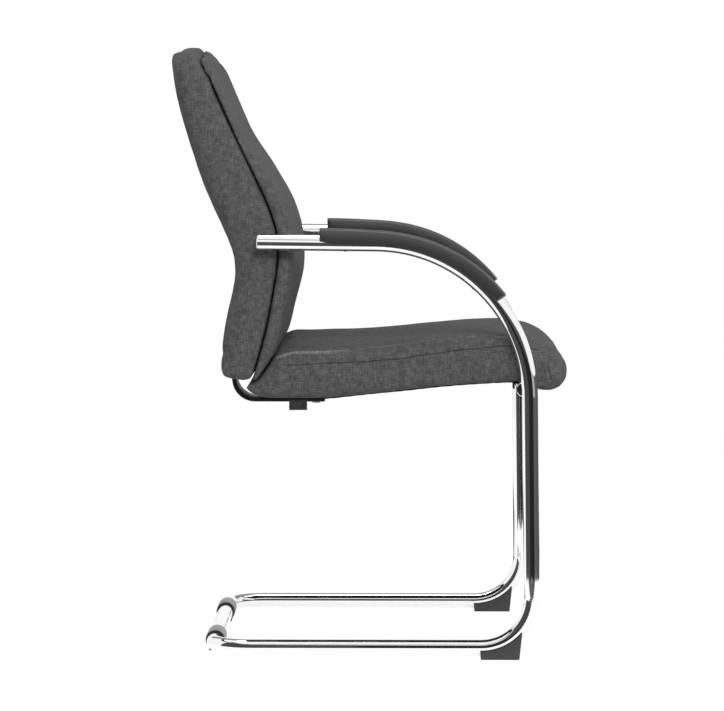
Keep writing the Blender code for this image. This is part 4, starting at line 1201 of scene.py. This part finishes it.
def even_mesh(piece, size):
    """Gives the piece an even mesh, drawn in slightly, ready for the pressure."""
    step = piece.modifiers.new("even", "REMESH")
    step.mode = "VOXEL"
    step.voxel_size = size
    settle(piece, all_smooth)
    bm = bmesh.new()
    bm.from_mesh(piece.data)
    ways = {"use_axis_x": True, "use_axis_y": True, "use_axis_z": True}
    for _ in range(2):
        bmesh.ops.smooth_vert(bm, verts=bm.verts[:], factor=0.5, **ways)
    bm.to_mesh(piece.data)
    bm.free()


def puff(piece, held, furthest):
    """Lets the pressure push the cover out, except where it is held."""
    mesh = piece.data
    group = piece.vertex_groups.new(name="held")
    for vert in mesh.vertices:
        share = held(vert.co - setback)
        if share > 0:
            group.add([vert.index], share, "REPLACE")
    before = [vert.co.copy() for vert in mesh.vertices]
    cloth = piece.modifiers.new("cover", "CLOTH")
    for setting, value in cover_cloth.items():
        setattr(cloth.settings, setting, value)
    cloth.settings.effector_weights.gravity = 0
    cloth.point_cache.frame_end = cover_frames
    scene = bpy.context.scene
    for frame_number in range(1, cover_frames + 1):
        scene.frame_set(frame_number)
    moved = piece.evaluated_get(bpy.context.evaluated_depsgraph_get()).data
    after = [vert.co.copy() for vert in moved.vertices]
    piece.modifiers.clear()
    scene.frame_set(1)
    longest = 0.0
    for vert, start, end in zip(mesh.vertices, before, after):
        travel = end - start
        if travel.length > furthest:
            travel = travel.normalized() * furthest
        vert.co = start + travel
        longest = max(longest, travel.length)
    piece.vertex_groups.clear()
    print(piece.name, "cover moved by up to", round(longest * 1000, 1), "mm")


def finer(piece):
    step = piece.modifiers.new("finer", "SUBSURF")
    step.levels = step.render_levels = 1
    settle(piece, all_smooth)


print("cover helpers ready")

# %% [markdown]
# ## Seams, ridges and folds
#
# A line of stitches is drawn on the side view, and every point of a cushion measures how far it lies
# from that line. The distance is stored on the mesh for the fabric to read, and the same distance
# raises a ridge or presses a groove, with a bell curve over its width.

# %% Seam helpers
far_off = 0.02


def signed_distance(line, place):
    """Distance from a point to a drawn line of (y, z) points, negative on its right side."""
    best = None
    for (ay, az), (by, bz) in zip(line, line[1:]):
        along_y, along_z = by - ay, bz - az
        size = along_y ** 2 + along_z ** 2
        share = min(max(((place.y - ay) * along_y + (place.z - az) * along_z) / size, 0.0), 1.0)
        gap_y, gap_z = place.y - ay - share * along_y, place.z - az - share * along_z
        gap = math.hypot(gap_y, gap_z)
        side = along_y * (place.z - az) - along_z * (place.y - ay)
        if best is None or gap < abs(best):
            best = math.copysign(gap, side)
    return best


def bell(distance, reach):
    """1 at no distance, falling off over the reach."""
    return math.exp(-(distance / reach) ** 2)


def mark_seam(piece, kind, distance):
    """Stores on the mesh how far each point is from a line on the cover, for the fabric to read."""
    mesh = piece.data
    mark = mesh.attributes.new(kind, "FLOAT", "POINT")
    for vert in mesh.vertices:
        mark.data[vert.index].value = distance(vert.co - setback)


def no_seam(place):
    return far_off


def press(piece, amount):
    """Moves every point along its normal by the given amount."""
    mesh = piece.data
    for vert, normal in zip(mesh.vertices, [v.normal.copy() for v in mesh.vertices]):
        vert.co += normal * amount(vert.co - setback)
    mesh.update()


def waves(place, size):
    return noise.noise(place / size)


print("seam helpers ready")

# %% [markdown]
# ## Seat
#
# One foam block in a cover of top, side and nose panels. A seam runs along the side, and the top
# panel's edge stands up as a soft ridge above it. Near the nose the side panel is gathered in a dart.
# The outline runs from the underside round the rear edge, along the crest and down over the nose.

# %% Seat foam
seat_rear = [
    (0.4330, 0.3980), (0.4415, 0.4080), (0.4445, 0.4180), (0.4405, 0.4250), (0.4270, 0.4275),
    (0.4180, 0.4400), (0.4090, 0.4520), (0.3990, 0.4640), (0.3870, 0.4715),
]
seat_nose = [
    (-0.0300, 0.4835), (-0.0450, 0.4715), (-0.0550, 0.4590), (-0.0590, 0.4440), (-0.0570, 0.4300),
    (-0.0490, 0.4190), (-0.0370, 0.4145), (-0.0220, 0.4140), (-0.0110, 0.4175), (-0.0045, 0.4250),
]


def on_seat_top(y, z):
    return eased((z - 0.455) / 0.02) * eased((0.425 - y) / 0.030) * eased((y + 0.045) / 0.05)


def seat_foam():
    points = [(y, underside(y)) for y in [0.0, 0.015] + along(0.030, 0.405, 14) + [0.420]] + seat_rear
    points += [(y, value_at(crest_profile, y)) for y in reversed(along(-0.008, 0.372, 18))] + seat_nose

    def edge(y, z):
        under = eased((0.448 - z) / 0.02) * eased((y - 0.02) / 0.02)
        return 0.020 - 0.016 * max(under, 0.7 * eased((y - 0.385) / 0.015))

    def crown(y, z):
        rise = 0.012 * eased((y - 0.05) / 0.22) + 0.007 * eased((y - 0.35) / 0.05)
        return (0.002 + rise) * on_seat_top(y, z)

    def corner(y, z, side):
        ahead = eased((0.030 - y) / 0.085)
        low = eased(1 - (z - underside(y) - 0.004) / 0.030)
        return Vector((0, 0.022 * ahead * draw_in(side, 0.055), side_lift(y, side) * low))

    return foam(points, seat_half, 0.020, edge, crown, corner)


print("share of the top panel's crown at the middle:", on_seat_top(0.2, 0.49))

# %% [markdown]
# ## Lines on the seat's cover
#
# The seam, the ridge and the dart follow the photograph. The cover is held below, behind and, less
# firmly, along the ridge. Along the ridge the top panel gets a painted highlight, so it looks lighter.

# %% Seat lines
seat_seam = [
    (0.3806, 0.4555), (0.3234, 0.4589), (0.2558, 0.4613), (0.2030, 0.4665), (0.1844, 0.4697),
    (0.1129, 0.4793), (0.0420, 0.4865), (-0.0019, 0.4829), (-0.0097, 0.4798),
]
seat_ridge = [
    (0.3949, 0.4680), (0.3711, 0.4757), (0.3234, 0.4770), (0.2683, 0.4804), (0.2085, 0.4864),
    (0.1611, 0.4936), (0.1130, 0.4984), (0.0664, 0.5020), (0.0307, 0.4995), (0.0017, 0.4985),
    (-0.0173, 0.4936), (-0.035, 0.482),
]
nose_dart = [(-0.0276, 0.4541), (-0.0300, 0.4432), (-0.0331, 0.4339)]
fan_y, fan_z, fan_spread, fold_pitch = -0.028, 0.447, 0.0004, 0.0021


def beside(x):
    """1 on a cushion's side panel, fading to 0 further in."""
    return eased((abs(x) - (seat_half - 0.020)) / 0.008)


def seat_held(place):
    under = eased((dished(place.x, place.y) + 0.010 - place.z) / 0.006) if place.y > 0.01 else 0.0
    behind = 1.0 if place.y > 0.392 else 0.0
    seam = bell(signed_distance(seat_ridge, place), 0.008) * beside(place.x)
    return min(1.0, max(under, behind, 0.8 * seam))


def on_side(line, first, last):
    """Distance from a line drawn on the seat's side, between two depths; far off it elsewhere."""

    def distance(place):
        gap = signed_distance(line, place)
        near = abs(place.x) > seat_half - 0.016 and first < place.y < last
        return gap if near else math.copysign(far_off, gap)

    return distance


def from_ridge_highlight(place):
    """Distance from the ridge that gets the painted highlight, plus half the way in from the seat's side.
    """
    gap = signed_distance(seat_ridge, place)
    inward = max(0.0, seat_half - abs(place.x) - 0.010)
    return gap + math.copysign(0.5 * inward, gap)


def seat_press(place):
    ridge = bell(signed_distance(seat_ridge, place), 0.0032)
    seam_gap = signed_distance(seat_seam, place)
    groove = bell(seam_gap, 0.0035)
    puckers = math.exp(-abs(seam_gap) / 0.012) * waves(Vector((0, place.y * 3.0, place.z * 0.6)), 0.016)
    dart = bell(signed_distance(nose_dart, place), 0.0035)
    fan = math.exp(-((place.y - fan_y) ** 2 + (place.z - fan_z) ** 2) / fan_spread)
    folds = fan * math.sin(place.y / fold_pitch)
    broad = waves(place, 0.07) * 0.0007 + waves(place, 0.028) * 0.00025
    sewn = 0.0024 * ridge - 0.0008 * groove + 0.00045 * puckers - 0.0012 * dart + 0.00035 * folds
    return beside(place.x) * sewn + broad


def make_seat():
    seat = finish_piece("seat_upholstery", seat_foam(), "fabric", ["seat_cushion"], all_smooth)
    even_mesh(seat, size=0.006)
    puff(seat, seat_held, furthest=0.0035)
    finer(seat)
    press(seat, seat_press)
    mark_seam(seat, "seam", on_side(seat_seam, -0.02, 0.38))
    mark_seam(seat, "dart", on_side(nose_dart, -0.05, 0.0))
    # This stored distance places the painted highlight along the seat's ridge.
    mark_seam(seat, "ridge_highlight", from_ridge_highlight)
    return seat


print("seat:", len(make_seat().data.polygons), "faces")

# %% [markdown]
# ## Back
#
# The back is two padded halves that meet in a seam along both sides and over the top. The front half
# is what the sitter leans on. Each half is foamed, covered and put under strain by itself, and held
# along the seam, so that the two rounded edges make the dark line between them.

# %% Foam of the back
back_half = 0.243
top_z = 0.9455
seam_gap = 0.0012
corner_size = 0.060
back_slope = 0.451
end_edge = 0.0015
seam_heights = along(0.4350, 0.936, 22)
rear_top = [
    (0.5275, 0.9440), (0.5320, 0.9455), (0.5390, 0.9458), (0.5470, 0.9456), (0.5560, 0.9445),
    (0.5600, 0.9400),
]
rear_bottom = [(0.4820, 0.4440), (0.4770, 0.4365), (0.4660, 0.4335), (0.4395, 0.4318)]
front_top = [(0.5072, 0.9330), (0.5140, 0.9385), (0.5205, 0.9400)]
front_bottom = [(0.4370, 0.4283), (0.4290, 0.4278)]


def top_corner(y, z, side):
    """Lowers the upper corners into a quarter round, along the back's slope, and lifts the middle."""
    share = max(0.0, (z - top_z + corner_size) / corner_size)
    drop = corner_size * share * draw_in(max(side, 0.0015), corner_size)
    middle = eased((side - 0.10) / 0.11)
    rise = 0.0096 * middle * eased((z - 0.915) / 0.030) * eased((0.5600 - y) / 0.010)
    return Vector((0, -back_slope * drop, rise - drop))


def end_fade(depth, z):
    """Depth of the rounded edge, less towards the back's lower and upper end."""
    share = eased((z - 0.436) / 0.045) * eased((top_z - z) / 0.060)
    return end_edge + (depth - end_edge) * share


def no_crown(y, z):
    return 0.0


def rear_foam():
    points = [(seam_y(z) + seam_gap / 2, z) for z in seam_heights] + rear_top
    points += [(value_at(rear_profile, z), z) for z in reversed(along(0.455, 0.932, 18))] + rear_bottom

    def edge(y, z):
        near_seam = eased((seam_y(z) + 0.016 - y) / 0.010)
        return end_fade(0.018 - 0.015 * near_seam, z)

    return foam(points, back_half, 0.018, edge, no_crown, top_corner)


def front_foam():
    points = [(value_at(front_profile, z), z) for z in along(0.4320, 0.924, 26)] + front_top
    points += [(seam_y(z) - seam_gap / 2, z) for z in reversed(seam_heights)] + front_bottom

    def front_share(y, z):
        return eased((seam_y(z) - 0.002 - y) / 0.003)

    def edge(y, z):
        depth = min(0.020, 0.6 * (seam_y(z) - value_at(front_profile, z)))
        return end_fade(0.002 + (depth - 0.002) * front_share(y, z), z)

    def corner(y, z, side):
        middle = 1 - (1 - side / back_half) ** 2
        thin = max(0.0, value_at(front_profile, min(z, front_profile[-1][0])) - seam_y(z) + 0.017)
        ahead = (0.010 + 0.3 * thin) * middle * front_share(y, z) * eased((z - 0.46) / 0.05)
        ahead *= (1 - 0.34 * eased((z - 0.755) / 0.07)) * (1 - 0.95 * eased((z - 0.84) / 0.06))
        return top_corner(y, z, side) - Vector((0, ahead, 0))

    return foam(points, back_half, 0.022, edge, no_crown, corner)


print("rear half at arm height, thick:", round(value_at(rear_profile, arm_height) - seam_y(arm_height), 4))

# %% [markdown]
# ## Cover of the back
#
# Beside the seam the cover puckers a little, a soft bead runs along the rear half, and small folds
# fan out where each arm's end meets the back.

# %% Covers of the back
arm_place = Vector((0, arm_end - 0.012, arm_height))
bead_offset, bead_width = 0.0150, 0.0035


def from_seam(place):
    """How far a point lies from the seam's face, positive to the rear."""
    return place.y - seam_y(max(place.z, seam_profile[0][0]))


def back_held(place):
    return max(bell(from_seam(place), 0.0035), eased((0.475 - place.z) / 0.015))


def back_press(place):
    side = eased((abs(place.x) - (back_half - 0.030)) / 0.010)
    gap = from_seam(place)
    bead = bell(gap - bead_offset, bead_width)
    bead *= 0.7 + waves(Vector((0, place.y, place.z * 2)), 0.02)
    puckers = math.exp(-abs(gap) / 0.010) * waves(Vector((0, place.y * 0.6, place.z * 3.0)), 0.018)
    from_arm = (Vector((0, place.y, place.z)) - arm_place).length
    way_round = math.atan2(place.z - arm_height, place.y - arm_place.y)
    tug = bell(from_arm, 0.022) * math.sin(way_round * 7)
    broad = waves(place, 0.09) * 0.0007 + waves(place + Vector((3, 1, 2)), 0.03) * 0.0002
    return side * (0.0004 * puckers + 0.0006 * tug + 0.0010 * bead) + broad


def make_back_half(name, bm, packed):
    half = finish_piece(name, bm, "fabric", [packed], all_smooth)
    even_mesh(half, size=0.0057)
    puff(half, back_held, furthest=0.002)
    finer(half)
    press(half, back_press)
    for kind in ("seam", "dart", "ridge_highlight"):
        mark_seam(half, kind, no_seam)
    print(name, len(half.data.polygons), "faces")


make_back_half("back_pad_rear", rear_foam(), "back_shell")
make_back_half("back_pad_front", front_foam(), "back_cushion")

# %% [markdown]
# ## Seat board
#
# The seat's board is moulded plywood and dished: flat where the bar is bolted on and rising towards
# its sides, as the cushion's underside does. It is an even sheet, bent to the same underside and then
# given its thickness.

# %% Seat board
board_half_width, board_first, board_last, board_thickness = 0.215, 0.030, 0.405, 0.012


def laid_grid(counts, half_width, first, last, height):
    """An even grid between two depths, every point at the height that its place gives."""
    bm = bmesh.new()
    bmesh.ops.create_grid(bm, x_segments=counts[0], y_segments=counts[1], size=0.5)
    for vert in bm.verts:
        x, y = vert.co.x * 2 * half_width, first + (vert.co.y + 0.5) * (last - first)
        vert.co = (x, y, height(x, y))
    return bm


def thicken(piece, thickness, sharp_angle=40.0):
    step = piece.modifiers.new("thickness", "SOLIDIFY")
    step.thickness = thickness
    step.offset = 0
    settle(piece, sharp_angle)


def board_height(x, y):
    return dished(x, y) + board_thickness / 2


def make_board():
    bm = laid_grid((30, 26), board_half_width, board_first, board_last, board_height)
    board = finish_piece("seat_ply", bm, "plywood", ["seat_board"])
    thicken(board, board_thickness)
    return board


print("board:", len(make_board().data.polygons), "faces")

# %% [markdown]
# ## Lining
#
# Black lining cloth is pulled flat over the seat's underside. It sags a little in the middle and has
# shallow tucks along its sides, where it would be stapled.

# %% Lining
lining_half_width, lining_first, lining_last, lining_thickness = 0.223, 0.022, 0.413, 0.0006


def lining_height(x, y):
    reach = (y - lining_first) / (lining_last - lining_first)
    inner = (1 - (x / lining_half_width) ** 2) * math.sin(math.pi * reach)
    tucks = max(0.0, abs(x) / lining_half_width - 0.86) * 0.004 * math.sin(y / 0.0062)
    sag = 0.0004 * inner + 0.0003 * waves(Vector((x, y, 0)), 0.04)
    return dished(x, y) - hair - lining_thickness - sag - abs(tucks)


def make_lining():
    bm = laid_grid((60, 54), lining_half_width, lining_first, lining_last, lining_height)
    lining = finish_piece("seat_lining", bm, "lining", ["seat_underside_cover"], all_smooth)
    thicken(lining, lining_thickness, all_smooth)
    return lining


print("lining:", len(make_lining().data.polygons), "faces")

# %% [markdown]
# ## Tag
#
# A small tag is caught in the seam under the seat's right edge: a strip of cloth folded at the bottom,
# with both ends sewn in at the top. It is left blank.

# %% Tag
tag_x, tag_y, tag_length, tag_drop = -0.234, 0.362, 0.028, 0.016
tag_half_gap, tag_thickness = 0.00045, 0.0003
tag_top = dished(tag_x, tag_y) - 0.0021
tag_start = tag_y - tag_length / 2


def tag_section():
    """The folded strip from the front, as (x, z) points: down, round the fold and up again."""
    bottom, count = tag_drop - tag_half_gap, 8
    down = [(tag_x - tag_half_gap, tag_top - bottom * i / count) for i in range(count + 1)]
    angles = [math.pi * i / 6 for i in range(1, 6)]
    fold_z = tag_top - tag_drop + tag_half_gap
    fold = [(tag_x - tag_half_gap * math.cos(a), fold_z - tag_half_gap * math.sin(a)) for a in angles]
    return down + fold + [(2 * tag_x - x, z) for x, z in reversed(down)]


def make_tag():
    bm = bmesh.new()
    verts = [bm.verts.new((x, tag_start, z)) for x, z in tag_section()]
    strip = [bm.edges.new(pair) for pair in zip(verts, verts[1:])]
    steps = 10
    for _ in range(steps):
        grown = bmesh.ops.extrude_edge_only(bm, edges=strip)["geom"]
        fresh = only(BMVert, grown)
        bmesh.ops.translate(bm, verts=fresh, vec=(0, tag_length / steps, 0))
        strip = [edge for edge in only(BMEdge, grown) if all(vert in fresh for vert in edge.verts)]
    for vert in bm.verts:
        hang = (tag_top - vert.co.z) / tag_drop
        vert.co.x += 0.0007 * hang * math.sin((vert.co.y - tag_start) / tag_length * 5.0)
    tag = finish_piece("sewn_tag", bm, "tag_cloth", ["fabric_tag"], all_smooth)
    thicken(tag, tag_thickness, all_smooth)
    return tag


print("tag:", len(make_tag().data.polygons), "faces")
